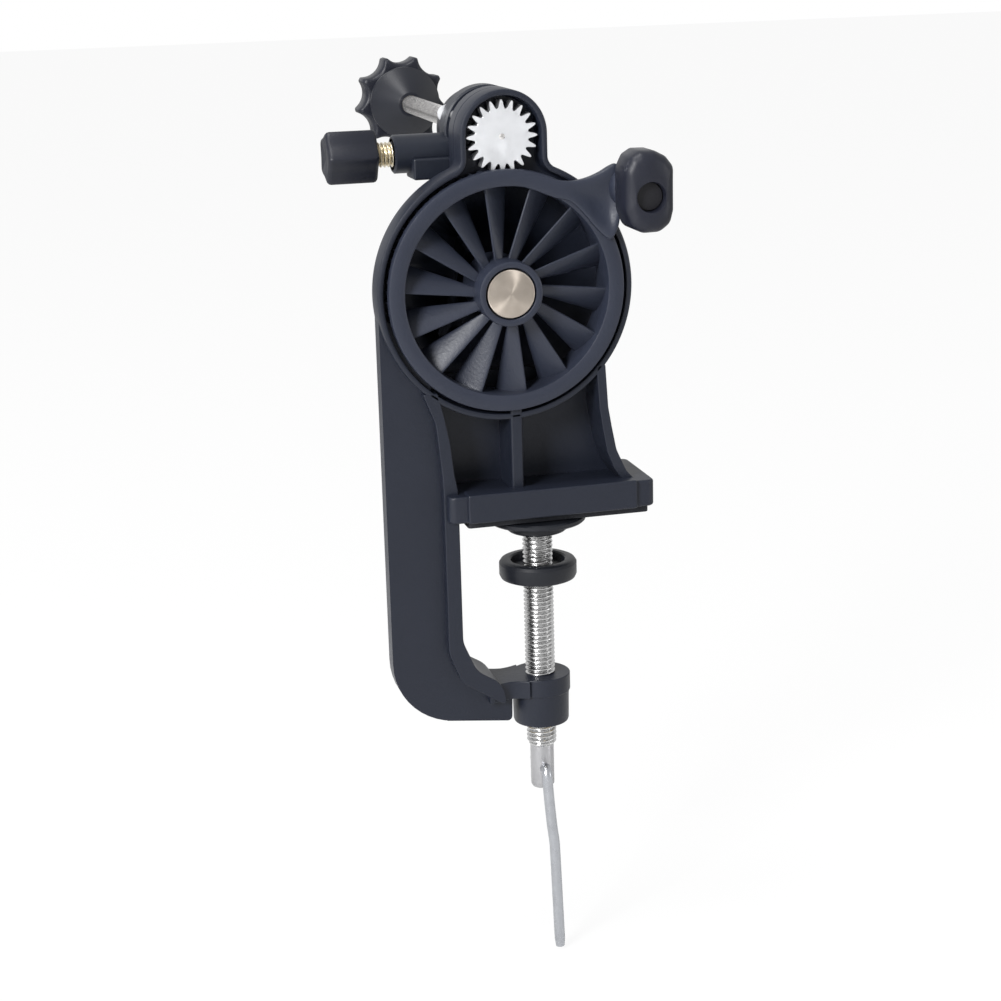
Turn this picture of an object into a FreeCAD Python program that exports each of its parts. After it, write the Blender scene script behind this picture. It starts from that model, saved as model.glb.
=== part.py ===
import FreeCAD, Part
import math
import os
import re

import Sketcher

os.makedirs("parts", exist_ok=True)
doc = FreeCAD.newDocument("line_winder")

# Sizes in millimetres. X runs right, Y back and Z up. The origin is the centre of the
# jaw pad's underside, on the axis of the clamp screw.
SIZES = {
    # gear train and its two axes
    "wheel_x": -10.8,
    "wheel_z": 76.1,
    "gear_module": 1.0711,
    "wheel_teeth": 70,
    "pinion_teeth": 20,
    "gear_backlash": 0.22,
    "wheel_addendum": 0.71,
    "wheel_dedendum": 1.19,
    "pinion_addendum": 0.69,
    "pinion_dedendum": 2.1,
    "pinion_front": -9.0,
    "pinion_length": 4.5,
    # clearances
    "running_gap": 0.05,
    "moving_gap": 0.3,
    "seat_gap": 0.02,
    # drive wheel
    "ring_front": -12.0,
    "ring_flange": 2.7,
    "ring_lip": 0.1,
    "rim_wall": 3.3,
    "gear_length": 4.8,
    "barrel_wall": 1.8,
    "barrel_back": 1.2,
    "blade_count": 14,
    "blade_thick": 1.4,
    "blade_near": -9.2,
    "blade_far": -1.3,
    "blade_far_at_hub": -8.5,
    "blade_root_lead": 1.4,
    "blade_root_trail": 1.2,
    "blade_tip_lead": -1.4,
    "blade_tip_trail": 10.7,
    "hub_r": 10.35,
    "hub_front": -16.0,
    "hub_back": 7.0,
    "hub_recess_r": 8.2,
    "hub_recess_depth": 2.4,
    # wheel axle and bush
    "axle_r": 4.0,
    "axle_head_r": 7.8,
    "axle_head_front": -15.6,
    "axle_thread_r": 3.0,
    "axle_thread_end": 17.0,
    "axle_nut_flats": 10.0,
    "axle_nut_length": 5.0,
    "thrust_washer_r": 7.0,
    "wheel_bush_wall": 2.0,
    # crank arm and grip
    "arm_front": -14.5,
    "arm_back": -11.6,
    "grip_x": 30.3,
    "grip_z": 105.7,
    "grip_left": 22.3,
    "grip_right": 38.1,
    "grip_bottom": 94.6,
    "grip_top": 119.9,
    "grip_front": -32.0,
    "grip_length": 13.7,
    "grip_side_r": 3.5,
    "grip_edge": 1.6,
    "grip_hole_r": 4.6,
    "grip_hole_depth": 5.0,
    "grip_pin_r": 3.0,
    "grip_pin_head_r": 4.2,
    "grip_washer_r": 6.5,
    "grip_washer_thick": 0.8,
    # drum of the frame
    "drum_gap": 1.2,
    "drum_wall": 2.0,
    "drum_front": -10.0,
    "drum_floor_front": -3.0,
    "drum_floor": 2.0,
    "bowl_gap": 1.2,
    "bowl_wall": 2.4,
    "bowl_back": 8.0,
    "back_wall": 2.5,
    # dome over the pinion
    "dome_x": -10.4,
    "dome_z": 124.8,
    "dome_r": 14.05,
    "dome_wall": 2.0,
    "dome_back": 6.0,
    "dome_fillet": 4.0,
    "spigot_r": 12.4,
    "spigot_back": 11.0,
    # rear housing and brake boss
    "housing_r": 14.0,
    "housing_length": 7.6,
    "housing_cavity_r": 9.3,
    "housing_cavity": 5.4,
    "housing_nose_r": 8.0,
    "housing_nose": 3.4,
    "housing_screw_r": 1.5,
    "housing_screw_ring": 11.6,
    "housing_screw_length": 12.0,
    "brake_y": 14.6,
    "brake_drop": 6.2,
    "brake_boss_r": 6.1,
    "brake_boss_length": 16.5,
    "brake_block_inset": 5.2,
    "brake_block_sink": 4.1,
    "brake_block_drop": 1.0,
    "brake_block_front": 6.3,
    # spindle and bushes
    "spindle_r": 3.25,
    "spindle_front": -9.5,
    "spindle_back": 150.0,
    "bush_wall": 2.2,
    "bush_flange": 0.9,
    "bush_flange_r": 7.0,
    "collar_r": 8.5,
    "collar_length": 4.2,
    # cones and star knob
    "drive_cone_front": 23.0,
    "cone_base_r": 13.0,
    "cone_step": 2.0,
    "cone_apex_r": 4.6,
    "cone_length": 11.0,
    "cone_collar": 3.0,
    "outer_cone_back": 134.0,
    "cone_travel": 75.0,
    "collet_r": 4.6,
    "collet_nose": 8.0,
    "star_gap": 1.5,
    "star_length": 11.5,
    "star_r": 16.9,
    "star_scallops": 9,
    "star_scallop_r": 6.9,
    "star_valley_r": 14.0,
    "star_edge": 1.0,
    "star_insert_r": 7.0,
    # brake screw, plug and knob
    "brake_screw_r": 4.0,
    "brake_thread_shown": 5.5,
    "brake_knob_mouth": 2.1,
    "brake_screw_reach": 14.9,
    "brake_plug_r": 3.3,
    "brake_nut_r": 5.0,
    "brake_nut_length": 8.0,
    "brake_knob_length": 16.2,
    "brake_knob_r": 8.6,
    "brake_flutes": 5,
    "brake_waist_r": 6.5,
    "brake_flute_r": 30.0,
    # neck and jaw plate
    "plate_left": -32.5,
    "plate_right": 36.7,
    "plate_front": -15.0,
    "plate_back": 17.0,
    "plate_bottom": 2.4,
    "plate_top": 11.9,
    "plate_lip": 0.6,
    "panel_left": -26.5,
    "panel_right": 30.3,
    "panel_proud": 1.2,
    "pad_left": -26.0,
    "pad_right": 35.0,
    "pad_front": -11.5,
    "pad_back": 13.5,
    "pad_seat": 0.6,
    "neck_front": 5.0,
    "neck_wall": 3.5,
    "rib_front": -10.0,
    "rib_wall": 3.2,
    "centre_rib_left": -10.6,
    "centre_rib_wall": 4.0,
    # spine, flange and screw boss
    "spine_left": -51.6,
    "spine_front": -6.5,
    "spine_wall": 6.0,
    "spine_corner_r": 22.0,
    "spine_end": -11.5,
    "flange_inner": -28.5,
    "flange_wall": 4.9,
    "flange_front": -10.0,
    "flange_back": 9.5,
    "throat_floor": -55.5,
    "arm_wall": 6.1,
    "arm_end_r": 10.0,
    "waist_r": 6.0,
    "boss_r": 9.4,
    "boss_bottom": -72.5,
    # clamp
    "screw_r": 5.0,
    "screw_thread_end": -81.3,
    "shank_r": 4.0,
    "screw_end": -96.8,
    "cross_hole_z": -89.3,
    "cross_hole_r": 1.9,
    "clamp_nut_r": 7.2,
    "clamp_nut_length": 12.0,
    "foot_r": 16.1,
    "foot_plate": 1.8,
    "foot_step_r": 10.1,
    "foot_depth": 5.3,
    "foot_edge": 0.6,
    "nose_r": 3.4,
    "nose_length": 2.6,
    "lock_ring_r": 12.9,
    "lock_ring_top": -15.5,
    "lock_ring_length": 6.7,
    "lock_recess_r": 9.0,
    "lock_recess": 2.5,
    "bar_r": 1.8,
    "bar_front": -6.0,
    "bar_back": 6.4,
    "bar_bend_r": 2.0,
    "bar_knee_x": 1.7,
    "bar_knee_z": -105.7,
    "bar_end_x": 3.3,
    "bar_end_z": -154.7,
    "bar_head_r": 2.6,
}

sheet = doc.addObject("Spreadsheet::Sheet", "dim")
for row, (name, value) in enumerate(SIZES.items(), 1):
    sheet.set(f"A{row}", name)
    sheet.set(f"B{row}", str(value))
    sheet.setAlias(f"B{row}", name)
doc.recompute()

# Places that follow from the sizes above.
pinion_z = "(wheel_z + gear_module * (wheel_teeth + pinion_teeth) / 2)"
pinion_x = "wheel_x"
pinion_back = "(pinion_front + pinion_length)"
gear_front = "(ring_front + ring_flange)"
gear_back = f"({gear_front} + gear_length)"
wheel_tip = "(gear_module * wheel_teeth / 2 + wheel_addendum)"
wheel_root = "(gear_module * wheel_teeth / 2 - wheel_dedendum)"
ring_r = f"({wheel_tip} + ring_lip)"
ring_inner = f"({wheel_root} - rim_wall)"
barrel_r = f"({ring_inner} + barrel_wall)"
drum_inner = f"({ring_r} + drum_gap)"
drum_r = f"({drum_inner} + drum_wall)"
drum_step = "(drum_floor_front + drum_floor)"
bowl_inner = f"({barrel_r} + bowl_gap)"
bowl_r = f"({bowl_inner} + bowl_wall)"
bowl_end = "(bowl_back + back_wall)"
recess_floor = "(hub_front + hub_recess_depth)"
axle_head_back = f"({recess_floor} - moving_gap)"
washer_front = "(hub_back + moving_gap)"
grip_back = "(grip_front + grip_length)"
pin_face = f"({grip_back} + moving_gap + grip_washer_thick)"
housing_back = "(spigot_back + housing_length)"
housing_floor = "(spigot_back + housing_cavity)"
nose_back = f"({housing_back} + housing_nose)"
bush_r = "(spindle_r + running_gap + bush_wall)"
brake_z = f"({pinion_z} - brake_drop)"
boss_left = "(dome_x - housing_r - brake_boss_length)"
boss_right = "(dome_x - housing_r + 4)"
knob_right = f"({boss_left} - brake_thread_shown)"
knob_left = f"({knob_right} - brake_knob_length)"
screw_head_end = f"({knob_right} - brake_knob_mouth - 6)"
screw_tip = f"({boss_left} + brake_screw_reach)"
block_bottom = f"(wheel_z + {bowl_r} - brake_block_sink)"
block_top = f"({brake_z} - brake_block_drop)"
plug_tip = f"({pinion_x} - sqrt(pow(collar_r; 2) - pow(brake_plug_r - brake_drop; 2)) - moving_gap)"
star_front = "(outer_cone_back + star_gap)"
star_back = f"({star_front} + star_length)"
pad_top = "(plate_bottom + pad_seat)"
flange_outer = "(flange_inner - flange_wall)"
arm_bottom = "(throat_floor - arm_wall)"
foot_top = "(0 - moving_gap)"
foot_bottom = "(0 - moving_gap - foot_depth)"
lock_bottom = "(lock_ring_top - lock_ring_length)"


def bind(text):
    """The expression with each size name pointed at the sheet."""
    return re.sub(r"[a-z_]+[a-z0-9_]*", lambda m: "dim." + m.group() if m.group() in SIZES else m.group(), str(text))


def value(text):
    """The expression's number, in millimetres."""
    return float(sheet.evalExpression(str(text)))


def new_body(name):
    body = doc.addObject("PartDesign::Body", name)
    body.Label = name
    return body


def blank_sketch(body, name, plane, offset):
    """Empty sketch on one of the body's origin planes, moved along that plane's axis."""
    sketch = body.newObject("Sketcher::SketchObject", name)
    role = plane + "_Plane"
    sketch.AttachmentSupport = ([f for f in body.Origin.OriginFeatures if f.Role == role][0], "")
    sketch.MapMode = "FlatFace"
    sign = "-" if plane == "XZ" else ""
    sketch.setExpression("AttachmentOffset.Base.z", bind(f"{sign}({offset})"))
    return sketch


def pin_point(sketch, number, which, point):
    """Ties one point of the sketch to a pair of expressions."""
    for kind, text in zip(("DistanceX", "DistanceY"), point):
        index = sketch.addConstraint(Sketcher.Constraint(kind, -1, 1, number, which, value(text)))
        sketch.setExpression(f"Constraints[{index}]", bind(text))


def add_outline(sketch, points):
    """Closed outline through the points."""
    places = [FreeCAD.Vector(value(a), value(b), 0) for a, b in points]
    first = sketch.GeometryCount
    count = len(places)
    for i in range(count):
        sketch.addGeometry(Part.LineSegment(places[i], places[(i + 1) % count]), False)
    for i in range(count):
        sketch.addConstraint(Sketcher.Constraint("Coincident", first + i, 2, first + (i + 1) % count, 1))
    for i in range(count):
        pin_point(sketch, first + i, 1, points[i])


def add_circle(sketch, circle):
    """Circle given as (centre, centre, radius)."""
    centre = FreeCAD.Vector(value(circle[0]), value(circle[1]), 0)
    number = sketch.addGeometry(Part.Circle(centre, FreeCAD.Vector(0, 0, 1), value(circle[2])), False)
    index = sketch.addConstraint(Sketcher.Constraint("Radius", number, value(circle[2])))
    sketch.setExpression(f"Constraints[{index}]", bind(circle[2]))
    pin_point(sketch, number, 3, circle[:2])


def draw(body, name, plane, offset, loops):
    sketch = blank_sketch(body, name + "_sketch", plane, offset)
    for loop in loops:
        if isinstance(loop, tuple):
            add_circle(sketch, loop)
        else:
            add_outline(sketch, loop)
    return sketch


def pad(body, name, plane, start, end, *loops):
    """Material between two positions along the plane's axis."""
    sketch = draw(body, name, plane, end if plane == "XZ" else start, loops)
    feature = body.newObject("PartDesign::Pad", name)
    feature.Profile = sketch
    feature.setExpression("Length", bind(f"{end} - ({start})"))
    doc.recompute()
    return feature


def pocket(body, name, plane, start, end, *loops):
    """Cut between two positions along the plane's axis."""
    sketch = draw(body, name, plane, start if plane == "XZ" else end, loops)
    before = body.Shape.Volume
    feature = body.newObject("PartDesign::Pocket", name)
    feature.Profile = sketch
    feature.setExpression("Length", bind(f"{end} - ({start})"))
    doc.recompute()
    if body.Shape.Volume >= before - 1e-6:
        raise RuntimeError(name + " cuts nothing")
    return feature


def turned(body, name, axis, centre, profile, groove=False):
    """Ring or rod about an axis through the centre, from (position, radius) pairs."""
    if axis == "y":
        plane, offset = "YZ", centre[0]
        points = [(p, f"{centre[1]} + {r}") for p, r in profile]
        ends = [(profile[0][0], centre[1]), (profile[-1][0], centre[1])]
    elif axis == "x":
        plane, offset = "XZ", centre[0]
        points = [(p, f"{centre[1]} + {r}") for p, r in profile]
        ends = [(profile[0][0], centre[1]), (profile[-1][0], centre[1])]
    else:
        plane, offset = "XZ", centre[1]
        points = [(f"{centre[0]} + {r}", p) for p, r in profile]
        ends = [(centre[0], "0"), (centre[0], "10")]
    if axis != "z" and abs(value(ends[0][0]) - value(ends[1][0])) < 1:
        ends[1] = (f"{ends[0][0]} + 10", centre[1])
    sketch = draw(body, name, plane, offset, [points])
    places = [FreeCAD.Vector(value(a), value(b), 0) for a, b in ends]
    line = sketch.addGeometry(Part.LineSegment(*places), True)
    for which, point in zip((1, 2), ends):
        pin_point(sketch, line, which, point)
    feature = body.newObject("PartDesign::Groove" if groove else "PartDesign::Revolution", name)
    feature.Profile = sketch
    feature.ReferenceAxis = (sketch, ["Axis0"])
    feature.Angle = 360
    doc.recompute()
    return feature


def around(body, name, feature, sketch_with_axis, count):
    """Copies of a feature around the construction line of a turned feature's sketch."""
    pattern = body.newObject("PartDesign::PolarPattern", name)
    pattern.Originals = [feature]
    pattern.Axis = (sketch_with_axis.Profile[0], ["Axis0"])
    pattern.Angle = 360
    pattern.setExpression("Occurrences", bind(count))
    body.Tip = pattern
    doc.recompute()
    return pattern


def rounded(body, name, radius, chosen, kind="Fillet"):
    """Fillet or chamfer on the edges of the body's last feature that the test chooses."""
    last = body.Tip
    edges = [f"Edge{i}" for i, edge in enumerate(last.Shape.Edges, 1) if chosen(edge)]
    if not edges:
        raise RuntimeError(name + " finds no edge")
    feature = body.newObject("PartDesign::" + kind, name)
    feature.Base = (last, edges)
    feature.setExpression("Radius" if kind == "Fillet" else "Size", bind(radius))
    doc.recompute()
    return feature


def runs_along(axis, *places):
    """Chooses straight edges along an axis that pass the places, each given in the other two axes."""
    kept = [i for i in range(3) if i != "xyz".index(axis)]
    targets = [(value(a), value(b)) for a, b in places]

    def chosen(edge):
        if edge.Curve.TypeId != "Part::GeomLine" or len(edge.Vertexes) < 2:
            return False
        a, b = edge.Vertexes[0].Point, edge.Vertexes[1].Point
        if max(abs(a[i] - b[i]) for i in kept) > 1e-4:
            return False
        return any(max(abs(a[kept[0]] - p), abs(a[kept[1]] - q)) < 0.02 for p, q in targets)

    return chosen


def is_rim(axis, *rims):
    """Chooses full circles of a radius at a position along an axis."""
    index = "xyz".index(axis)
    targets = [(value(r), value(p)) for r, p in rims]

    def chosen(edge):
        if edge.Curve.TypeId != "Part::GeomCircle":
            return False
        place = edge.Curve.Center[index]
        return any(abs(edge.Curve.Radius - r) < 0.01 and abs(place - p) < 0.01 for r, p in targets)

    return chosen


def gear_space(teeth, addendum, dedendum, centre, turn):
    """Outline of one gap between teeth with involute flanks of 20 degrees, as plain numbers.

    The flank lies at the polar angle inv(a) = tan(a) - a, with cos(a) = base radius / radius.
    """
    module = value("gear_module")
    pitch = module * teeth / 2
    base = pitch * math.cos(math.radians(20))
    root = pitch - dedendum
    tip = pitch + addendum + 0.6
    half = math.pi / teeth / 2 + value("gear_backlash") / 4 / pitch

    def half_gap(radius):
        angle = math.acos(min(1.0, base / max(radius, base)))
        start = math.radians(20)
        return half + (math.tan(angle) - angle) - (math.tan(start) - start)

    radii = [root, pitch - 0.3, pitch + addendum, tip]
    side = [(r, half_gap(r)) for r in radii]
    loop = [(r, -w) for r, w in side] + [(r, w) for r, w in reversed(side)]
    return [(centre[0] + r * math.cos(turn + w), centre[1] + r * math.sin(turn + w)) for r, w in loop]


def tooth_gap(body, name, start, end, teeth, addendum, dedendum, centre, turn):
    """Pocket of one gear gap, from numbers worked out from the sheet."""
    points = gear_space(round(value(teeth)), value(addendum), value(dedendum), [value(c) for c in centre], turn)
    sketch = blank_sketch(body, name + "_sketch", "XZ", start)
    places = [FreeCAD.Vector(a, b, 0) for a, b in points]
    count = len(places)
    for i in range(count):
        sketch.addGeometry(Part.LineSegment(places[i], places[(i + 1) % count]), False)
    for i in range(count):
        sketch.addConstraint(Sketcher.Constraint("Coincident", i, 2, (i + 1) % count, 1))
        sketch.addConstraint(Sketcher.Constraint("Block", i))
    feature = body.newObject("PartDesign::Pocket", name)
    feature.Profile = sketch
    feature.setExpression("Length", bind(f"{end} - ({start})"))
    doc.recompute()
    return feature


# Frame: the moulding that carries everything.
frame = new_body("c_frame")
wheel_axis = ("wheel_x", "wheel_z")
pad(frame, "pan", "XZ", "drum_front", drum_step, (*wheel_axis, drum_r))
pad(frame, "bowl", "XZ", drum_step, bowl_end, (*wheel_axis, bowl_r))
cheek_left = "(dome_x - dome_r)"
cheek_right = "(dome_x + dome_r)"
pad(frame, "cheeks", "XZ", "drum_front", "dome_back", [
    (cheek_left, f"wheel_z + {barrel_r}"), (cheek_right, f"wheel_z + {barrel_r}"),
    (cheek_right, "dome_z"), (cheek_left, "dome_z")])
pad(frame, "dome", "XZ", "drum_front", "dome_back", ("dome_x", "dome_z", "dome_r"))
cheek_foot = [f"wheel_z + sqrt(pow({drum_r}; 2) - pow({side} - wheel_x; 2))" for side in (cheek_left, cheek_right)]
pad(frame, "spigot", "XZ", "bowl_back - 3", "spigot_back", ("dome_x", "dome_z", "spigot_r"))

# Spine panel on the left, with its large lower corner.
spine_back = "(spine_front + spine_wall)"
spine_foot = f"({arm_bottom} - 7.8)"
pad(frame, "spine", "XZ", "spine_front", spine_back, [
    ("spine_left", "wheel_z - 4"), ("spine_left", f"{spine_foot} + 4.7"), ("spine_end", spine_foot),
    ("spine_end", f"{arm_bottom} + 2"), ("flange_inner + 6", f"{arm_bottom} + 5"),
    ("flange_inner - 2", "throat_floor + 12"), ("flange_inner - 2", "plate_top"),
    ("flange_inner - 4", "wheel_z - 28")])
rounded(frame, "spine_corner", "spine_corner_r", runs_along("y", ("spine_left", f"{spine_foot} + 4.7")))

# Flange that stands up from the spine: the left neck rib, the throat wall and the lower arm.
pad(frame, "flange", "XZ", "flange_front", "flange_back", [
    (flange_outer, "plate_top"), (flange_outer, "throat_floor + 11.5"), (f"{flange_outer} + 4.9", "throat_floor + 2"),
    ("spine_end - 1.5", arm_bottom), ("0", arm_bottom), ("0", "throat_floor"), ("spine_end - 2.5", "throat_floor + 0.5"),
    ("flange_inner + 4", "throat_floor + 6.2"), ("flange_inner", "throat_floor + 15.5"), ("flange_inner", "plate_top"),
    ("flange_inner - 1.1", "plate_top + 6"), ("flange_inner - 3.5", "wheel_z - 40"), ("flange_inner - 6", "wheel_z - 31"),
    (f"{flange_outer} - 4.5", "wheel_z - 31"), (f"{flange_outer} - 1.6", "wheel_z - 41"),
    (f"{flange_outer} - 0.2", "plate_top + 6")])
rounded(frame, "throat_rounding", "8", runs_along("y", ("flange_inner", "throat_floor + 15.5"),
                                                  ("flange_inner + 4", "throat_floor + 6.2")))
pocket(frame, "arm_waist", "XY", f"{arm_bottom} - 1", "throat_floor + 5",
       ("spine_end - 1.5", "flange_front - 3", "waist_r"), ("spine_end - 1.5", "flange_back + 3.5", "waist_r"))
pocket(frame, "arm_front_end", "XY", f"{arm_bottom} - 1", "throat_floor + 5", [
    ("spine_end", "flange_front - 1"), ("1", "flange_front - 1"), ("1", "spine_front - 1"), ("spine_end", "spine_front - 1")])
pocket(frame, "arm_back_end", "XY", f"{arm_bottom} - 1", "throat_floor + 5", [
    ("spine_end", "0 - spine_front + 1"), ("1", "0 - spine_front + 1"), ("1", "flange_back + 1"), ("spine_end", "flange_back + 1")])
pad(frame, "arm_end", "XY", arm_bottom, "throat_floor", ("0", "0", "arm_end_r"))
pad(frame, "screw_boss", "XY", "boss_bottom", arm_bottom, ("0", "0", "boss_r"))

# Neck: rear wall with three ribs, and the jaw plate under it.
neck_back = "(neck_front + neck_wall)"
pad(frame, "neck_wall_pad", "XZ", "neck_front", neck_back, [
    ("flange_inner - 2", "plate_top - 2"), ("grip_left + 4.5", "plate_top - 2"), ("grip_left + 0.5", "plate_top + 17"),
    ("grip_left - 1.4", "wheel_z - 24"), ("flange_inner - 5", "wheel_z - 31")])
pad(frame, "right_rib", "XZ", "rib_front", neck_back, [
    ("26.2", "plate_top - 2"), ("29.4", "plate_top - 2"), ("28", "plate_top + 2.2"), ("25", "plate_top + 8.6"),
    ("23.3", "plate_top + 17.5"), ("21.6", "wheel_z - 23"), ("21.6 - rib_wall", "wheel_z - 23"),
    ("23.3 - rib_wall", "plate_top + 17.5"), ("25 - rib_wall", "plate_top + 6.6")])
pad(frame, "centre_rib", "XZ", "rib_front", neck_back, [
    ("centre_rib_left", "plate_top - 2"), ("centre_rib_left + centre_rib_wall", "plate_top - 2"),
    ("centre_rib_left + centre_rib_wall", "wheel_z - 39"), ("centre_rib_left", "wheel_z - 39")])
pad(frame, "plate", "XY", "plate_bottom", "plate_top", [
    ("plate_left", "plate_front + panel_proud"), ("plate_right", "plate_front + panel_proud"),
    ("plate_right", "plate_back"), ("plate_left", "plate_back")])
pad(frame, "plate_panel", "XZ", "plate_front", "plate_front + panel_proud + 0.5", [
    ("panel_left", "plate_bottom"), ("panel_right", "plate_bottom"), ("panel_right", "plate_top"),
    ("panel_left", "plate_top")])
rounded(frame, "plate_corners", "2.5", runs_along("z", ("plate_left", "plate_front + panel_proud"),
                                                  ("plate_right", "plate_front + panel_proud"),
                                                  ("plate_right", "plate_back"), ("plate_left", "plate_back")))
pocket(frame, "pad_pocket", "XY", "plate_bottom", pad_top, [
    ("pad_left - seat_gap", "pad_front - seat_gap"), ("pad_right + seat_gap", "pad_front - seat_gap"),
    ("pad_right + seat_gap", "pad_back + seat_gap"), ("pad_left - seat_gap", "pad_back + seat_gap")])

# Hollows of the drum and the dome.
pocket(frame, "pan_hollow", "XZ", "drum_front", "drum_floor_front", (*wheel_axis, drum_inner))
pocket(frame, "bowl_hollow", "XZ", "drum_floor_front", "bowl_back", (*wheel_axis, bowl_inner))
pocket(frame, "dome_hollow", "XZ", "drum_front", "drum_floor_front", ("dome_x", "dome_z", "dome_r - dome_wall"))
pocket(frame, "cheek_hollow", "XZ", "drum_front", "drum_floor_front", [
    ("dome_x - dome_r + dome_wall", f"wheel_z + {barrel_r}"), ("dome_x + dome_r - dome_wall", f"wheel_z + {barrel_r}"),
    ("dome_x + dome_r - dome_wall", "dome_z"), ("dome_x - dome_r + dome_wall", "dome_z")])
pocket(frame, "windows", "XZ", "bowl_back", bowl_end, [
    ("wheel_x - 12.9", "wheel_z + 1"), ("wheel_x - 15.2", "wheel_z - 5.4"), ("wheel_x - 18.9", "wheel_z - 15.9"),
    ("wheel_x - 14", "wheel_z - 18.5"), ("wheel_x - 8.6", "wheel_z - 9.7"), ("wheel_x - 11.5", "wheel_z - 5.6")], [
    ("wheel_x - 12.6", "wheel_z + 3.5"), ("wheel_x - 12.2", "wheel_z + 9"), ("wheel_x - 11.8", "wheel_z + 16"),
    ("wheel_x - 7", "wheel_z + 14.8"), ("wheel_x - 7.6", "wheel_z + 10.4"), ("wheel_x - 10.8", "wheel_z + 7")])
pocket(frame, "axle_hole", "XZ", "bowl_back", bowl_end, (*wheel_axis, "axle_thread_r + running_gap"))
spindle_axis = (pinion_x, pinion_z)
pocket(frame, "bush_bore", "XZ", "drum_floor_front", "spigot_back", (*spindle_axis, f"{bush_r} + seat_gap"))
screw_places = [(f"(dome_x + {side} * housing_screw_ring * cos(25))", "(dome_z + housing_screw_ring * sin(25))")
                for side in (-1, 1)]
pocket(frame, "cap_screw_holes", "XZ", f"{housing_back} - housing_screw_length", "spigot_back",
       *[(x, z, "housing_screw_r + seat_gap") for x, z in screw_places])
pocket(frame, "nut_bore", "XY", "boss_bottom", "boss_bottom + clamp_nut_length", ("0", "0", "clamp_nut_r + seat_gap"))
pocket(frame, "screw_bore", "XY", "boss_bottom", "throat_floor + 2", ("0", "0", "screw_r + moving_gap"))
rounded(frame, "rim_round", "0.5", is_rim("z", ("boss_r", "boss_bottom")))
rounded(frame, "cheek_fillets", "dome_fillet", runs_along("y", (cheek_left, cheek_foot[0]), (cheek_right, cheek_foot[1])))

# Rear housing: bearing cap with the brake boss.
housing = new_body("rear_housing")
turned(housing, "cap", "y", ("dome_x", "dome_z"), [
    ("spigot_back", "0"), ("spigot_back", "housing_r"), (housing_back, "housing_r"), (housing_back, "housing_nose_r"),
    (nose_back, "housing_nose_r"), (nose_back, "0")])
pad(housing, "brake_boss", "YZ", boss_left, boss_right, ("brake_y", brake_z, "brake_boss_r"))
pad(housing, "brake_block", "XZ", "brake_block_front", housing_back, [
    (f"{boss_left} + brake_block_inset", block_bottom), (boss_right, block_bottom), (boss_right, block_top),
    (f"{boss_left} + brake_block_inset", block_top)])
pocket(housing, "drum_relief", "XZ", "brake_block_front - 1", "spigot_back", (*wheel_axis, f"{bowl_r} + moving_gap"))
pocket(housing, "spigot_relief", "XZ", "brake_block_front - 1", "spigot_back", ("dome_x", "dome_z", "housing_r + 0.1"))
pocket(housing, "collar_hollow", "XZ", "spigot_back", housing_floor, (*spindle_axis, "housing_cavity_r"))
pocket(housing, "rear_bush_bore", "XZ", housing_floor, nose_back, (*spindle_axis, f"{bush_r} + seat_gap"))
pocket(housing, "cap_screw_holes", "XZ", "spigot_back", housing_back,
       *[(x, z, "housing_screw_r + seat_gap") for x, z in screw_places])
pocket(housing, "plug_bore", "YZ", boss_left, f"{pinion_x} - housing_cavity_r + 2",
       ("brake_y", brake_z, "brake_plug_r + running_gap"))
pocket(housing, "brake_nut_bore", "YZ", boss_left, f"{screw_tip} + 0.5", ("brake_y", brake_z, "brake_screw_r + moving_gap"))
pocket(housing, "brake_nut_seat", "YZ", boss_left, f"{boss_left} + brake_nut_length",
       ("brake_y", brake_z, "brake_nut_r + seat_gap"))

# Bushes of the spindle.
front_bush = new_body("front_bush")
turned(front_bush, "bush", "y", spindle_axis, [
    ("drum_floor_front - bush_flange", "spindle_r + running_gap"), ("drum_floor_front - bush_flange", "bush_flange_r"),
    ("drum_floor_front", "bush_flange_r"), ("drum_floor_front", bush_r), ("dome_back + 2", bush_r),
    ("dome_back + 2", "spindle_r + running_gap")])
rear_bush = new_body("rear_bush")
turned(rear_bush, "bush", "y", spindle_axis, [
    (housing_floor, "spindle_r + running_gap"), (housing_floor, bush_r), (nose_back, bush_r),
    (nose_back, "spindle_r + running_gap")])

# Wheel axle with its flat head, thrust washer and nut.
axle = new_body("wheel_axle")
turned(axle, "pin", "y", wheel_axis, [
    ("axle_head_front", "0"), ("axle_head_front", "axle_head_r"), (axle_head_back, "axle_head_r"),
    (axle_head_back, "axle_r"), ("bowl_back", "axle_r"), ("bowl_back", "axle_thread_r"),
    ("axle_thread_end", "axle_thread_r"), ("axle_thread_end", "0")])
rounded(axle, "head_edge", "0.4", is_rim("y", ("axle_head_r", "axle_head_front")))
washer = new_body("axle_washer")
turned(washer, "washer", "y", wheel_axis, [
    (washer_front, "axle_r + seat_gap"), (washer_front, "thrust_washer_r"), ("bowl_back", "thrust_washer_r"),
    ("bowl_back", "axle_r + seat_gap")])


def hexagon(centre, flats):
    """Six corners of a hexagon with the given distance across flats."""
    corner = f"({flats}) / 2 / cos(30)"
    return [(f"{centre[0]} + {corner} * cos({60 * k})", f"{centre[1]} + {corner} * sin({60 * k})") for k in range(6)]


axle_nut = new_body("axle_nut")
pad(axle_nut, "nut", "XZ", bowl_end, f"{bowl_end} + axle_nut_length", hexagon(wheel_axis, "axle_nut_flats"),
    (*wheel_axis, "axle_thread_r + seat_gap"))

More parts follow.
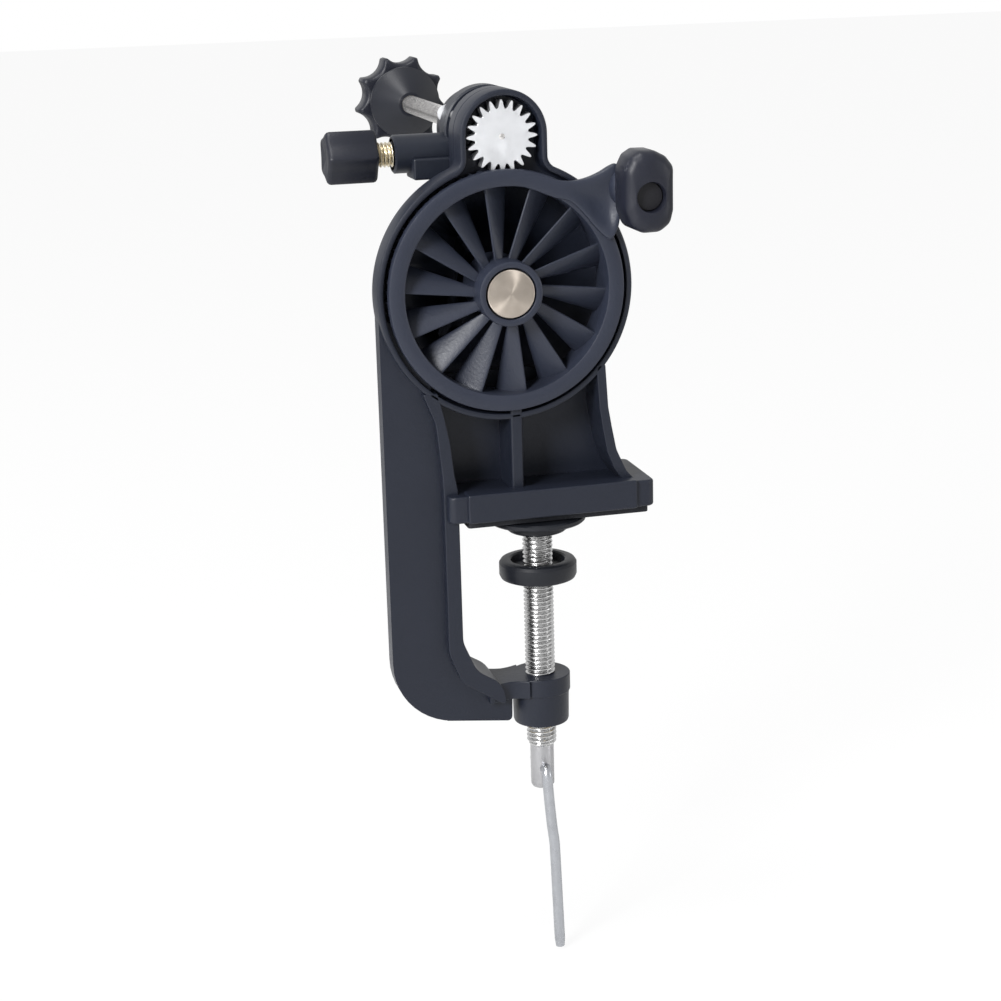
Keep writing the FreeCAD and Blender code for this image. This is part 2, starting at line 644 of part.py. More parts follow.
# Drive wheel: ring with a gear behind its flange, barrel, pitched blades, hub and crank arm.
wheel = new_body("drive_wheel")
hub = turned(wheel, "hub", "y", wheel_axis, [
    ("hub_front", "hub_recess_r"), ("hub_front", "hub_r"), ("hub_back", "hub_r"),
    ("hub_back", "axle_r + running_gap + wheel_bush_wall + seat_gap"),
    (recess_floor, "axle_r + running_gap + wheel_bush_wall + seat_gap"), (recess_floor, "hub_recess_r")])


def blade_section(name, reach, lead, trail, far):
    """Section of a blade across its length, at a distance right of the wheel axis."""
    return draw(wheel, name, "YZ", f"wheel_x + {reach}", [[
        ("blade_near", f"wheel_z + {lead}"), (far, f"wheel_z - {trail}"), (f"{far} + blade_thick", f"wheel_z - {trail}"),
        ("blade_near + blade_thick", f"wheel_z + {lead}")]])


blade = wheel.newObject("PartDesign::AdditiveLoft", "blade")
blade.Profile = blade_section("blade_root", "hub_r - 1.8", "blade_root_lead", "blade_root_trail", "blade_far_at_hub")
blade.Sections = [blade_section("blade_tip", f"{ring_inner} + 1.2", "blade_tip_lead", "blade_tip_trail", "blade_far")]
blade.Ruled = True
doc.recompute()
around(wheel, "blades", blade, hub, "blade_count")
turned(wheel, "blade_trim", "y", wheel_axis, [
    ("ring_front", f"{ring_inner} + 1"), ("ring_front", f"{ring_inner} + 6"), ("hub_back", f"{ring_inner} + 6"),
    ("hub_back", f"{ring_inner} + 1")], groove=True)
turned(wheel, "ring", "y", wheel_axis, [
    ("ring_front", ring_inner), ("ring_front", ring_r), (gear_front, ring_r), (gear_front, wheel_tip),
    (gear_back, wheel_tip), (gear_back, barrel_r), ("barrel_back", barrel_r), ("barrel_back", ring_inner)])
gap = tooth_gap(wheel, "gear_gap", gear_front, gear_back, "wheel_teeth", "wheel_addendum", "wheel_dedendum",
                wheel_axis, math.pi / 2 + math.pi / round(value("wheel_teeth")))
around(wheel, "gear", gap, hub, "wheel_teeth")
pad(wheel, "crank_arm", "XZ", "arm_front", "arm_back", [
    ("wheel_x + 11.5", "wheel_z + 32.6"), ("wheel_x + 12.7", "wheel_z + 34.8"), ("wheel_x + 21.8", "wheel_z + 34.2"),
    ("wheel_x + 30.3", "wheel_z + 37.5"), ("wheel_x + 36.5", "wheel_z + 40.4"), ("wheel_x + 37.5", "wheel_z + 28"),
    ("wheel_x + 34", "wheel_z + 19.2"), ("wheel_x + 30.6", "wheel_z + 14.7"), ("wheel_x + 29.5", "wheel_z + 15.5"),
    ("wheel_x + 25", "wheel_z + 22")])
neck_foot = draw(wheel, "arm_neck_foot", "XZ", "arm_front + 1", [[
    ("grip_left - 7", "grip_z - 9.5"), ("grip_left + 3", "grip_z - 8"), ("grip_left + 4", "grip_z + 7"),
    ("grip_left - 5", "grip_z + 7.5")]])
neck_top = draw(wheel, "arm_neck_top", "XZ", pin_face, [[
    ("grip_x - 6.5", "grip_z - 6.5"), ("grip_x + 5.5", "grip_z - 6.5"), ("grip_x + 5.5", "grip_z + 7.5"),
    ("grip_x - 6.5", "grip_z + 7.5")]])
neck = wheel.newObject("PartDesign::AdditiveLoft", "arm_neck")
neck.Profile = neck_foot
neck.Sections = [neck_top]
neck.Ruled = True
doc.recompute()
pocket(wheel, "grip_pin_hole", "XZ", f"{pin_face} - 1", "arm_back", ("grip_x", "grip_z", "grip_pin_r + seat_gap"))

wheel_bush = new_body("wheel_bush")
turned(wheel_bush, "bush", "y", wheel_axis, [
    (recess_floor, "axle_r + running_gap"), (recess_floor, "axle_r + running_gap + wheel_bush_wall"),
    ("hub_back", "axle_r + running_gap + wheel_bush_wall"), ("hub_back", "axle_r + running_gap")])

# Crank grip, its pin and washer.
grip = new_body("crank_knob")
pad(grip, "block", "XZ", "grip_front", grip_back, [
    ("grip_left", "grip_bottom + 7"), ("grip_left + 5.5", "grip_bottom"), ("grip_right - 4.5", "grip_bottom"),
    ("grip_right", "grip_bottom + 6"), ("grip_right", "grip_top - 6"), ("grip_right - 5", "grip_top - 0.8"),
    ("grip_left + 5.5", "grip_top"), ("grip_left", "grip_top - 6")])
rounded(grip, "side_round", "grip_side_r", lambda edge: edge.Curve.TypeId == "Part::GeomLine" and
        abs(edge.Vertexes[0].Point.y - edge.Vertexes[-1].Point.y) > value("grip_length") - 0.1)
rounded(grip, "front_edge", "grip_edge",
        lambda edge: all(abs(v.Point.y - value("grip_front")) < 0.01 for v in edge.Vertexes))
pocket(grip, "deep_hole", "XZ", "grip_front", "grip_front + grip_hole_depth", ("grip_x", "grip_z", "grip_hole_r"))
pocket(grip, "bore", "XZ", "grip_front", grip_back, ("grip_x", "grip_z", "grip_pin_r + running_gap"))
pin = new_body("knob_pin")
turned(pin, "pin", "y", ("grip_x", "grip_z"), [
    ("grip_front + grip_hole_depth - moving_gap - 1.6", "0"),
    ("grip_front + grip_hole_depth - moving_gap - 1.6", "grip_pin_head_r"),
    ("grip_front + grip_hole_depth - moving_gap", "grip_pin_head_r"),
    ("grip_front + grip_hole_depth - moving_gap", "grip_pin_r"), ("arm_back", "grip_pin_r"), ("arm_back", "0")])
grip_washer = new_body("knob_washer")
turned(grip_washer, "washer", "y", ("grip_x", "grip_z"), [
    (f"{grip_back} + moving_gap", "grip_pin_r + seat_gap"), (f"{grip_back} + moving_gap", "grip_washer_r"),
    (pin_face, "grip_washer_r"), (pin_face, "grip_pin_r + seat_gap")])

# Spindle with its pinion, brake collar and drive cone.
spindle = new_body("spindle")
turned(spindle, "rod", "y", spindle_axis, [
    ("spindle_front", "0"), ("spindle_front", "spindle_r"), ("spindle_back", "spindle_r"), ("spindle_back", "0")])
rounded(spindle, "ends", "0.6", is_rim("y", ("spindle_r", "spindle_back")), "Chamfer")
pinion = new_body("pinion")
pinion_tip = "(gear_module * pinion_teeth / 2 + pinion_addendum)"
blank = turned(pinion, "blank", "y", spindle_axis, [
    ("pinion_front", "spindle_r + seat_gap"), ("pinion_front", pinion_tip), (pinion_back, pinion_tip),
    (pinion_back, "spindle_r + seat_gap")])
gap = tooth_gap(pinion, "gap", "pinion_front", pinion_back, "pinion_teeth", "pinion_addendum", "pinion_dedendum",
                spindle_axis, -math.pi / 2)
around(pinion, "teeth", gap, blank, "pinion_teeth")
collar = new_body("brake_collar")
turned(collar, "collar", "y", spindle_axis, [
    ("spigot_back + 0.6", "spindle_r + seat_gap"), ("spigot_back + 0.6", "collar_r"),
    ("spigot_back + 0.6 + collar_length", "collar_r"), ("spigot_back + 0.6 + collar_length", "spindle_r + seat_gap")])
drive_cone = new_body("drive_cone")
turned(drive_cone, "cone", "y", spindle_axis, [
    ("drive_cone_front", "spindle_r + seat_gap"), ("drive_cone_front", "cone_base_r"),
    ("drive_cone_front + cone_step", "cone_base_r"), ("drive_cone_front + cone_step + cone_length", "cone_apex_r"),
    ("drive_cone_front + cone_step + cone_length + cone_collar", "cone_apex_r"),
    ("drive_cone_front + cone_step + cone_length + cone_collar", "spindle_r + seat_gap")])

# Outer cone with its split collet, and the star knob that closes the collet.
outer_cone = new_body("outer_cone")
turned(outer_cone, "cone", "y", spindle_axis, [
    ("outer_cone_back - cone_length", "spindle_r + running_gap"), ("outer_cone_back - cone_length", "cone_apex_r"),
    ("outer_cone_back - cone_step", "cone_base_r"), ("outer_cone_back", "cone_base_r"),
    ("outer_cone_back", "collet_r + seat_gap"), ("outer_cone_back - cone_length + 4", "collet_r + seat_gap"),
    ("outer_cone_back - cone_length + 4", "spindle_r + running_gap")])
collet = new_body("collet")
turned(collet, "sleeve", "y", spindle_axis, [
    ("outer_cone_back - cone_length + 4", "spindle_r + running_gap"), ("outer_cone_back - cone_length + 4", "collet_r"),
    ("outer_cone_back + collet_nose", "collet_r"), ("outer_cone_back + collet_nose", "spindle_r + running_gap")])
pocket(collet, "split", "XZ", "outer_cone_back + 1", "outer_cone_back + collet_nose", [
    (f"{pinion_x} - 0.3", f"{pinion_z} - 6"), (f"{pinion_x} + 0.3", f"{pinion_z} - 6"),
    (f"{pinion_x} + 0.3", f"{pinion_z} + 6"), (f"{pinion_x} - 0.3", f"{pinion_z} + 6")])
star = new_body("star_knob")
disc = turned(star, "disc", "y", spindle_axis, [
    (star_front, "star_insert_r + seat_gap"), (star_front, "star_r - star_edge"), (f"{star_front} + star_edge", "star_r"),
    (f"{star_back} - star_edge", "star_r"), (star_back, "star_r - star_edge"), (star_back, "star_insert_r + seat_gap")])
scallop = pocket(star, "scallop", "XZ", star_front, star_back,
                 (pinion_x, f"{pinion_z} + star_valley_r + star_scallop_r", "star_scallop_r"))
around(star, "scallops", scallop, disc, "star_scallops")
star_insert = new_body("star_insert")
turned(star_insert, "insert", "y", spindle_axis, [
    (star_front, "collet_r + running_gap"), (star_front, "star_insert_r"), (star_back, "star_insert_r"),
    (star_back, "spindle_r + moving_gap"), ("outer_cone_back + collet_nose + 0.6", "spindle_r + moving_gap"),
    ("outer_cone_back + collet_nose + 0.6", "collet_r + running_gap")])

# Brake: plug, screw, knob and threaded insert.
brake_axis = ("brake_y", brake_z)
plug = new_body("brake_plug")
turned(plug, "plug", "x", brake_axis, [
    (f"{screw_tip} + 0.3", "0"), (f"{screw_tip} + 0.3", "brake_plug_r"), (plug_tip, "brake_plug_r"), (plug_tip, "0")])
brake_screw = new_body("brake_screw")
turned(brake_screw, "screw", "x", brake_axis, [
    (screw_head_end, "0"), (screw_head_end, "brake_screw_r"), (screw_tip, "brake_screw_r"), (screw_tip, "0")])
brake_nut = new_body("brake_nut")
turned(brake_nut, "insert", "x", brake_axis, [
    (boss_left, "brake_screw_r + running_gap"), (boss_left, "brake_nut_r"), (f"{boss_left} + brake_nut_length", "brake_nut_r"),
    (f"{boss_left} + brake_nut_length", "brake_screw_r + running_gap")])
brake_knob = new_body("brake_knob")
cup = turned(brake_knob, "grip", "x", brake_axis, [
    (knob_left, "0"), (knob_left, "brake_knob_r - 1"), (f"{knob_left} + 1", "brake_knob_r"),
    (f"{knob_right} - 1", "brake_knob_r"), (knob_right, "brake_knob_r - 1"),
    (knob_right, "brake_screw_r + seat_gap"), (screw_head_end, "brake_screw_r + seat_gap"), (screw_head_end, "0")])
flute = pocket(brake_knob, "flute", "YZ", knob_left, knob_right,
               ("brake_y + brake_waist_r + brake_flute_r", brake_z, "brake_flute_r"))
around(brake_knob, "flutes", flute, cup, "brake_flutes")

# Two screws that hold the rear housing on the spigot.
screws = new_body("housing_screws")
screw_head = f"({housing_back} + 1.6)"
for number, (x, z) in enumerate(screw_places, 1):
    turned(screws, f"screw_{number}", "y", (x, z), [
        ("spigot_back + housing_length - housing_screw_length", "0"),
        ("spigot_back + housing_length - housing_screw_length", "housing_screw_r"),
        (housing_back, "housing_screw_r"), (housing_back, "housing_screw_r + 1.3"),
        (screw_head, "housing_screw_r + 1.3"), (screw_head, "0")])

# Jaw pad and clamp.
jaw_pad = new_body("jaw_pad")
pad(jaw_pad, "pad", "XY", "0", pad_top, [
    ("pad_left", "pad_front"), ("pad_right", "pad_front"), ("pad_right", "pad_back"), ("pad_left", "pad_back")])
clamp_nut = new_body("clamp_nut")
turned(clamp_nut, "insert", "z", ("0", "0"), [
    ("boss_bottom", "screw_r + running_gap"), ("boss_bottom", "clamp_nut_r"),
    ("boss_bottom + clamp_nut_length", "clamp_nut_r"), ("boss_bottom + clamp_nut_length", "screw_r + running_gap")])
foot = new_body("clamp_foot")
turned(foot, "discs", "z", ("0", "0"), [
    (foot_top, "0"), (foot_top, "foot_r - foot_edge"), (f"{foot_top} - foot_edge", "foot_r"),
    (f"{foot_top} - foot_plate", "foot_r"), (f"{foot_top} - foot_plate", "foot_step_r"),
    (foot_bottom, "foot_step_r - 0.8"), (foot_bottom, "nose_r + running_gap"),
    (f"{foot_bottom} + nose_length + moving_gap", "nose_r + running_gap"),
    (f"{foot_bottom} + nose_length + moving_gap", "0")])
screw = new_body("clamp_screw")
turned(screw, "screw", "z", ("0", "0"), [
    (f"{foot_bottom} + nose_length", "0"), (f"{foot_bottom} + nose_length", "nose_r"),
    (f"{foot_bottom} - moving_gap", "nose_r"), (f"{foot_bottom} - moving_gap", "screw_r - 0.8"),
    (f"{foot_bottom} - moving_gap - 0.8", "screw_r"), ("screw_thread_end", "screw_r"),
    ("screw_thread_end - 1", "shank_r"), ("screw_end + 1", "shank_r"), ("screw_end", "shank_r - 1"), ("screw_end", "0")])
pocket(screw, "cross_hole", "XZ", "0 - shank_r - 1", "shank_r + 1", ("0", "cross_hole_z", "cross_hole_r"))
lock_ring = new_body("lock_ring")
turned(lock_ring, "ring", "z", ("0", "0"), [
    (lock_bottom, "screw_r + running_gap"), (lock_bottom, "lock_ring_r - 1"), (f"{lock_bottom} + 1", "lock_ring_r"),
    ("lock_ring_top - 1", "lock_ring_r"), ("lock_ring_top", "lock_ring_r - 1"), ("lock_ring_top", "lock_recess_r"),
    ("lock_ring_top - lock_recess", "lock_recess_r"), ("lock_ring_top - lock_recess", "screw_r + running_gap")])

# Tommy bar: one bent rod swept along its centre line, with a peened end behind the screw.
front_y = value("bar_front")
pivot_z = value("cross_hole_z")
bend = value("bar_bend_r")
knee = FreeCAD.Vector(value("bar_knee_x"), front_y, value("bar_knee_z"))
tip = FreeCAD.Vector(value("bar_end_x"), front_y, value("bar_end_z"))
start = FreeCAD.Vector(0, value("bar_back"), pivot_z)
turn_in = FreeCAD.Vector(0, front_y + bend, pivot_z)
turn_out = FreeCAD.Vector(0, front_y, pivot_z - bend)
turn_mid = FreeCAD.Vector(0, front_y + bend - bend * math.sin(math.pi / 4), pivot_z - bend + bend * math.cos(math.pi / 4))
curve = Part.BSplineCurve()
middle = [turn_out + (knee - turn_out) * 0.5, knee, knee + (tip - knee) * 0.3]
curve.interpolate([turn_out, *middle, tip], InitialTangent=FreeCAD.Vector(0, 0, -1),
                  FinalTangent=(tip - knee).normalize())
path = Part.Wire([Part.LineSegment(start, turn_in).toShape(), Part.Arc(turn_in, turn_mid, turn_out).toShape(),
                  curve.toShape()])
section = Part.Wire(Part.makeCircle(value("bar_r"), start, FreeCAD.Vector(0, -1, 0)))
rod = path.makePipeShell([section], True, False, 2)
head = Part.makeCylinder(value("bar_head_r"), 1.2, start, FreeCAD.Vector(0, 1, 0))
bar = doc.addObject("Part::Feature", "tommy_bar")
bar.Label = "tommy_bar"
bar.Shape = rod.fuse(head).Solids[0]

doc.recompute()
nodes = [o for o in doc.Objects if o.TypeId == "PartDesign::Body"] + [bar]
for item in doc.Objects:
    if "Invalid" in item.State or "Error" in item.State:
        raise RuntimeError(item.Label + " is not sound")
for node in nodes:
    shape = node.Shape
    if shape.isNull() or not shape.isValid():
        raise RuntimeError(node.Label + " has no valid shape")
    shape.exportStep(f"parts/{node.Label}.step")
print(len(nodes), "nodes")
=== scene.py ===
import math

import bmesh
import bpy
import numpy as np
from mathutils import Matrix, Vector
from mathutils.geometry import delaunay_2d_cdt


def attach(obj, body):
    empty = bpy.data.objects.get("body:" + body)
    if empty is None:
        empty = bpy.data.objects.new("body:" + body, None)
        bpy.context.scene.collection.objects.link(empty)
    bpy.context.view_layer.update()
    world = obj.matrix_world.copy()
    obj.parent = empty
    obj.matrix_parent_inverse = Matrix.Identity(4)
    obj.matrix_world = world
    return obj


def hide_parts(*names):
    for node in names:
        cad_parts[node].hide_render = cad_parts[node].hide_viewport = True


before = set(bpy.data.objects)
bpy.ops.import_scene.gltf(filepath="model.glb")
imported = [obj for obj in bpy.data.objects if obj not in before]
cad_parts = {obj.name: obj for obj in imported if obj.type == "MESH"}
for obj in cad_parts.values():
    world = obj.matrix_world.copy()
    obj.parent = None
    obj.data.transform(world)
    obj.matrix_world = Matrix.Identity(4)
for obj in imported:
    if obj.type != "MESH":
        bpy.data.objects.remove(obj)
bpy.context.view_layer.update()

# Frame moulding: one piece of black glass-filled nylon, spark-eroded grain on its faces.
# It holds the drum with the dome over the pinion, the spine, the ribbed neck with the jaw
# plate, and the lower arm with the screw boss.


def at_depth(flat, y):
    """Points of a flat X, Z outline set at a depth y."""
    return np.column_stack([flat[:, 0], np.zeros(len(flat)) + y, flat[:, 1]])


def rounded_outline(corners, radii, steps=8):
    """Closed outline through corners, each replaced by an arc of its radius.

    An arc starts and ends radius / tan(half angle) from its corner, and its points blend the two
    end directions by sin((1-k)a) and sin(ka) over sin(a), where a is the angle the arc turns."""
    p = np.asarray(corners, float)
    r = np.broadcast_to(np.asarray(radii, float), (len(p),))[:, None]
    a = np.roll(p, 1, axis=0) - p
    b = np.roll(p, -1, axis=0) - p
    a /= np.linalg.norm(a, axis=1)[:, None]
    b /= np.linalg.norm(b, axis=1)[:, None]
    half = np.arccos(np.clip((a * b).sum(1), -1, 1))[:, None] / 2
    bisector = (a + b) / np.linalg.norm(a + b, axis=1)[:, None]
    centre = p + bisector * r / np.sin(half)
    first = p + a * r / np.tan(half) - centre
    last = p + b * r / np.tan(half) - centre
    turn = np.pi - 2 * half
    k = np.linspace(0, 1, steps)[None, :, None]
    arcs = (np.sin((1 - k) * turn[:, None]) * first[:, None] + np.sin(k * turn[:, None]) * last[:, None])
    arcs = centre[:, None] + arcs / np.sin(turn)[:, None]
    return arcs.reshape(-1, 2)


def finish_mesh(name, points, faces, sharp=32):
    """Mesh object from points in millimetres, smooth apart from edges sharper than the angle."""
    mesh = bpy.data.meshes.new(name)
    mesh.from_pydata((np.asarray(points) / 1000).tolist(), [], faces)
    mesh.polygons.foreach_set("use_smooth", np.ones(len(mesh.polygons), bool))
    mesh.set_sharp_from_angle(angle=math.radians(sharp))
    mesh.validate()
    piece = bpy.data.objects.new(name, mesh)
    bpy.context.scene.collection.objects.link(piece)
    return piece


def grid_faces(rows, columns, wrap_rows=False, wrap_columns=True):
    """Quads between neighbouring points of a grid, joined round on the sides that wrap."""
    i = np.arange(rows if wrap_rows else rows - 1)[:, None]
    j = np.arange(columns if wrap_columns else columns - 1)[None, :]
    i2, j2 = (i + 1) % rows, (j + 1) % columns
    corners = (i * columns + j, i * columns + j2, i2 * columns + j2, i2 * columns + j)
    quads = np.stack(np.broadcast_arrays(*corners), -1)
    return quads.reshape(-1, 4).tolist()


def surface(name, points, wrap_rows=False, wrap_columns=True, caps=(), sharp=32):
    """Object from a grid of points: each row is a closed section, and caps close the first or last."""
    rows, columns = points.shape[:2]
    faces = grid_faces(rows, columns, wrap_rows, wrap_columns)
    if "first" in caps:
        faces.append(list(range(columns))[::-1])
    if "last" in caps:
        faces.append([(rows - 1) * columns + j for j in range(columns)])
    return finish_mesh(name, points.reshape(-1, 3), faces, sharp)


def outward(piece):
    """Turns every face of a closed piece outwards."""
    shell = bmesh.new()
    shell.from_mesh(piece.data)
    bmesh.ops.recalc_face_normals(shell, faces=shell.faces)
    shell.to_mesh(piece.data)
    shell.free()
    return piece


def slab(name, outline, start, end, axis="y", edge=0.6, segments=3):
    """Outline carried straight along an axis, both ends flat, with rolled edges of a radius."""
    flat = np.asarray(outline, float)
    order = {"y": (0, 2, 1), "z": (0, 1, 2), "x": (1, 2, 0)}[axis]
    rows = np.zeros((2, len(flat), 3))
    rows[:, :, order[0]] = flat[:, 0]
    rows[:, :, order[1]] = flat[:, 1]
    rows[0, :, order[2]] = start
    rows[1, :, order[2]] = end
    piece = outward(surface(name, rows, caps=("first", "last")))
    if edge:
        roll = piece.modifiers.new("rolled edges", "BEVEL")
        roll.width = edge / 1000
        roll.segments = segments
        roll.limit_method = "ANGLE"
        roll.angle_limit = math.radians(38)
        roll.harden_normals = True
    return piece


def lathe(name, profile, axis="y", centre=(0, 0), around=96, closed=True, sharp=32):
    """Profile of (position, radius) pairs turned about an axis through a centre."""
    position, radius = np.asarray(profile, float).T
    turn = np.linspace(0, 2 * np.pi, around, endpoint=False)
    a = centre[0] + radius[:, None] * np.cos(turn)
    b = centre[1] + radius[:, None] * np.sin(turn)
    p = np.broadcast_to(position[:, None], a.shape)
    order = {"y": (a, p, b), "z": (a, b, p), "x": (p, a, b)}[axis]
    piece = surface(name, np.stack(order, -1), wrap_rows=closed, sharp=sharp)
    return outward(piece)


DRUM = (-10.8, 76.1)
DOME = (-10.4, 124.8)


def keyhole(inset):
    """Outline of the drum with its dome, moved inwards by the inset.

    One arc round the drum, two concave arcs of radius 4 + inset about fixed centres that touch
    both the drum and the dome's upright sides, and a half circle over the dome."""
    drum_r, dome_r, blend = 41.5, 14.05, 4.0
    right = np.array([DOME[0] + dome_r + blend, 0])
    left = np.array([DOME[0] - dome_r - blend, 0])
    right[1] = DRUM[1] + math.sqrt((drum_r + blend) ** 2 - (right[0] - DRUM[0]) ** 2)
    left[1] = DRUM[1] + math.sqrt((drum_r + blend) ** 2 - (left[0] - DRUM[0]) ** 2)
    from_right = math.atan2(right[1] - DRUM[1], right[0] - DRUM[0])
    from_left = math.atan2(left[1] - DRUM[1], left[0] - DRUM[0])

    def arc(centre, radius, start, end, count):
        t = np.linspace(start, end, count)[:, None]
        return np.asarray(centre) + radius * np.hstack([np.cos(t), np.sin(t)])

    return np.vstack([
        arc(DRUM, drum_r - inset, from_left, from_right + 2 * np.pi, 180)[:-1],
        arc(right, blend + inset, from_right + np.pi, np.pi, 12),
        arc(DOME, dome_r - inset, 0, np.pi, 56),
        arc(left, blend + inset, 0, from_left - np.pi, 12)[:-1]])


def drum_shell():
    """Stations from the back wall, over the rim, to the outside and round to the back wall again."""
    rim = keyhole(0)
    toward = rim - DRUM
    toward /= np.linalg.norm(toward, axis=1)[:, None]
    inner = DRUM + toward * 36.0
    outer = DRUM + toward * 38.4
    stations = [
        (DRUM + toward * 31.0, 8.0), (DRUM + toward * 34.6, 8.0), (DRUM + toward * 35.6, 7.6), (inner, 6.6),
        (inner, -2.6), (DRUM + toward * 36.5, -3.0), (keyhole(2.6), -3.0), (keyhole(2.0), -3.6),
        (keyhole(2.0), -9.3), (keyhole(1.8), -9.8), (keyhole(1.3), -10.0), (keyhole(0.75), -10.0),
        (keyhole(0.2), -9.75), (keyhole(0), -9.2), (keyhole(0), -1.5), (keyhole(0.5), -1.0), (outer, -1.0),
        (outer, 9.5), (DRUM + toward * 37.4, 10.5), (DRUM + toward * 31.0, 10.5)]
    grid = np.array([at_depth(flat, y) for flat, y in stations])
    return outward(surface("drum_shell", grid, wrap_rows=True))


def holed_wall(name, outline, holes, start, end):
    """Flat wall across Y between two planes: its face is the triangulated outline less the holes."""
    loops = [np.asarray(loop, float) for loop in (outline, *holes)]
    flat = np.vstack(loops)
    first = np.cumsum([0] + [len(loop) for loop in loops])
    edges = [(a + k, a + (k + 1) % (b - a)) for a, b in zip(first[:-1], first[1:])
             for k in range(b - a)]
    corners, _, faces, _, _, _ = delaunay_2d_cdt([Vector(p) for p in flat], edges, [], 2, 1e-6)
    corners = np.array([tuple(c) for c in corners])
    count = len(corners)
    points = np.vstack([at_depth(corners, y) for y in (start, end)])
    sides = [(i, j, j + count, i + count) for i, j in edges]
    both = [list(f) for f in faces] + [[k + count for k in f][::-1] for f in faces] + [list(f) for f in sides]
    return outward(finish_mesh(name, points, both))


around_drum = np.linspace(0, 2 * np.pi, 120, endpoint=False)[:, None]
back_disc = np.array(DRUM) + 31.0 * np.hstack([np.cos(around_drum), np.sin(around_drum)])
window_radii = [0.8, 3, 1.2, 1.2, 1, 3]
low_window = rounded_outline(
    np.array(DRUM) + [(-12.9, 1.0), (-15.2, -5.4), (-18.9, -15.9), (-14.0, -18.5), (-8.6, -9.7),
                      (-11.5, -5.6)], window_radii, 6)
high_window = rounded_outline(
    np.array(DRUM) + [(-12.6, 3.5), (-12.2, 9.0), (-11.8, 16.0), (-7.0, 14.8), (-7.6, 10.4), (-10.8, 7.0)],
    window_radii, 6)
spine = rounded_outline(
    [(-51.6, 73.0), (-51.6, -64.8), (-34.0, -66.8), (-11.8, -69.4), (-11.5, -59.0), (-22.0, -56.0),
     (-30.5, -42.0), (-30.5, 12.0), (-32.5, 30.0), (-36.0, 48.0)], [1, 22, 1, 1.6, 1, 3, 3, 3, 3, 1], 12)
flange = rounded_outline(
    [(-33.4, 12.0), (-33.4, -42.5), (-29.2, -53.0), (-16.0, -61.6), (-14.6, -61.6), (-14.6, -55.2),
     (-24.0, -49.6), (-28.5, -39.0), (-28.5, 12.0), (-29.6, 18.0), (-30.6, 28.0), (-32.2, 36.5),
     (-34.2, 45.0), (-39.0, 45.0), (-35.2, 35.0), (-33.6, 18.0)],
    [20, 12, 8, 0.4, 0.4, 9, 9, 9, 20, 20, 12, 5, 0.4, 0.4, 12, 20], 8)
arm_line = np.linspace(-20, -6, 15)[:, None]
waist = 7.2 + 2.6 * np.clip(np.abs(arm_line + 12.0) / 7.0, 0, 1) ** 1.6
end_turn = np.linspace(math.radians(-127), math.radians(127), 40)[:, None]
arm_plan = np.vstack([
    np.hstack([arm_line, -waist]), 10.0 * np.hstack([np.cos(end_turn), np.sin(end_turn)]),
    np.hstack([arm_line, waist])[::-1]])
web = [(-31.0, 10.0), (27.0, 10.0), (22.5, 22.0), (21.0, 48.0), (-35.0, 48.0)]
right_rib = rounded_outline(
    [(27.0, 10.5), (31.5, 10.5), (28.2, 14.0), (24.8, 21.5), (23.3, 29.4), (22.2, 36.0), (21.4, 50.0),
     (18.4, 50.0), (19.2, 36.0), (20.2, 29.0), (21.6, 21.0), (24.0, 15.0)],
    [0.3, 0.3, 8, 10, 12, 12, 0.4, 0.4, 12, 12, 10, 6], 6)
centre_rib = [(-10.6, 10.5), (-6.6, 10.5), (-6.6, 40.0), (-10.6, 40.0)]
turn_up = np.linspace(0, np.pi, 40)[:, None]
dome_block = np.vstack([[(DOME[0] - 14.05, 108.0), (DOME[0] + 14.05, 108.0)],
                        np.array(DOME) + 14.05 * np.hstack([np.cos(turn_up), np.sin(turn_up)])])
plate = rounded_outline([(-32.5, -13.6), (36.7, -13.6), (36.7, 17.0), (-32.5, 17.0)], [2.6, 2.6, 2.5, 2.5], 6)
panel = [(-26.5, -15.0), (30.3, -15.0), (30.3, -8.0), (-26.5, -8.0)]
frame_parts = [
    drum_shell(),
    holed_wall("drum_back", back_disc, [low_window, high_window], 8.0, 10.5),
    slab("dome_back", dome_block, -1.4, 6.0, edge=1.0),
    lathe("spigot", [(5.0, 0.01), (5.0, 12.4), (11.0, 12.4), (11.0, 0.01)], centre=DOME),
    slab("spine_panel", spine, -6.5, -0.5, edge=1.6, segments=4),
    slab("throat_flange", flange, -10.0, 9.5, edge=1.0, segments=4),
    slab("lower_arm", arm_plan, -61.6, -55.5, axis="z", edge=1.2, segments=4),
    lathe("screw_boss", [(-60.0, 9.9), (-63.0, 9.5), (-71.6, 9.35), (-72.3, 9.1), (-72.5, 8.6), (-72.5, 7.3),
                         (-60.0, 7.3)], axis="z"),
    slab("neck_web", web, 5.0, 8.5, edge=0),
    slab("right_rib", right_rib, -10.0, 8.5, edge=0.8),
    slab("centre_rib", centre_rib, -10.0, 6.0, edge=0.8),
    slab("jaw_plate", plate, 2.4, 11.3, axis="z", edge=0.8),
    slab("plate_front", panel, 2.4, 11.9, axis="z", edge=0.7),
]


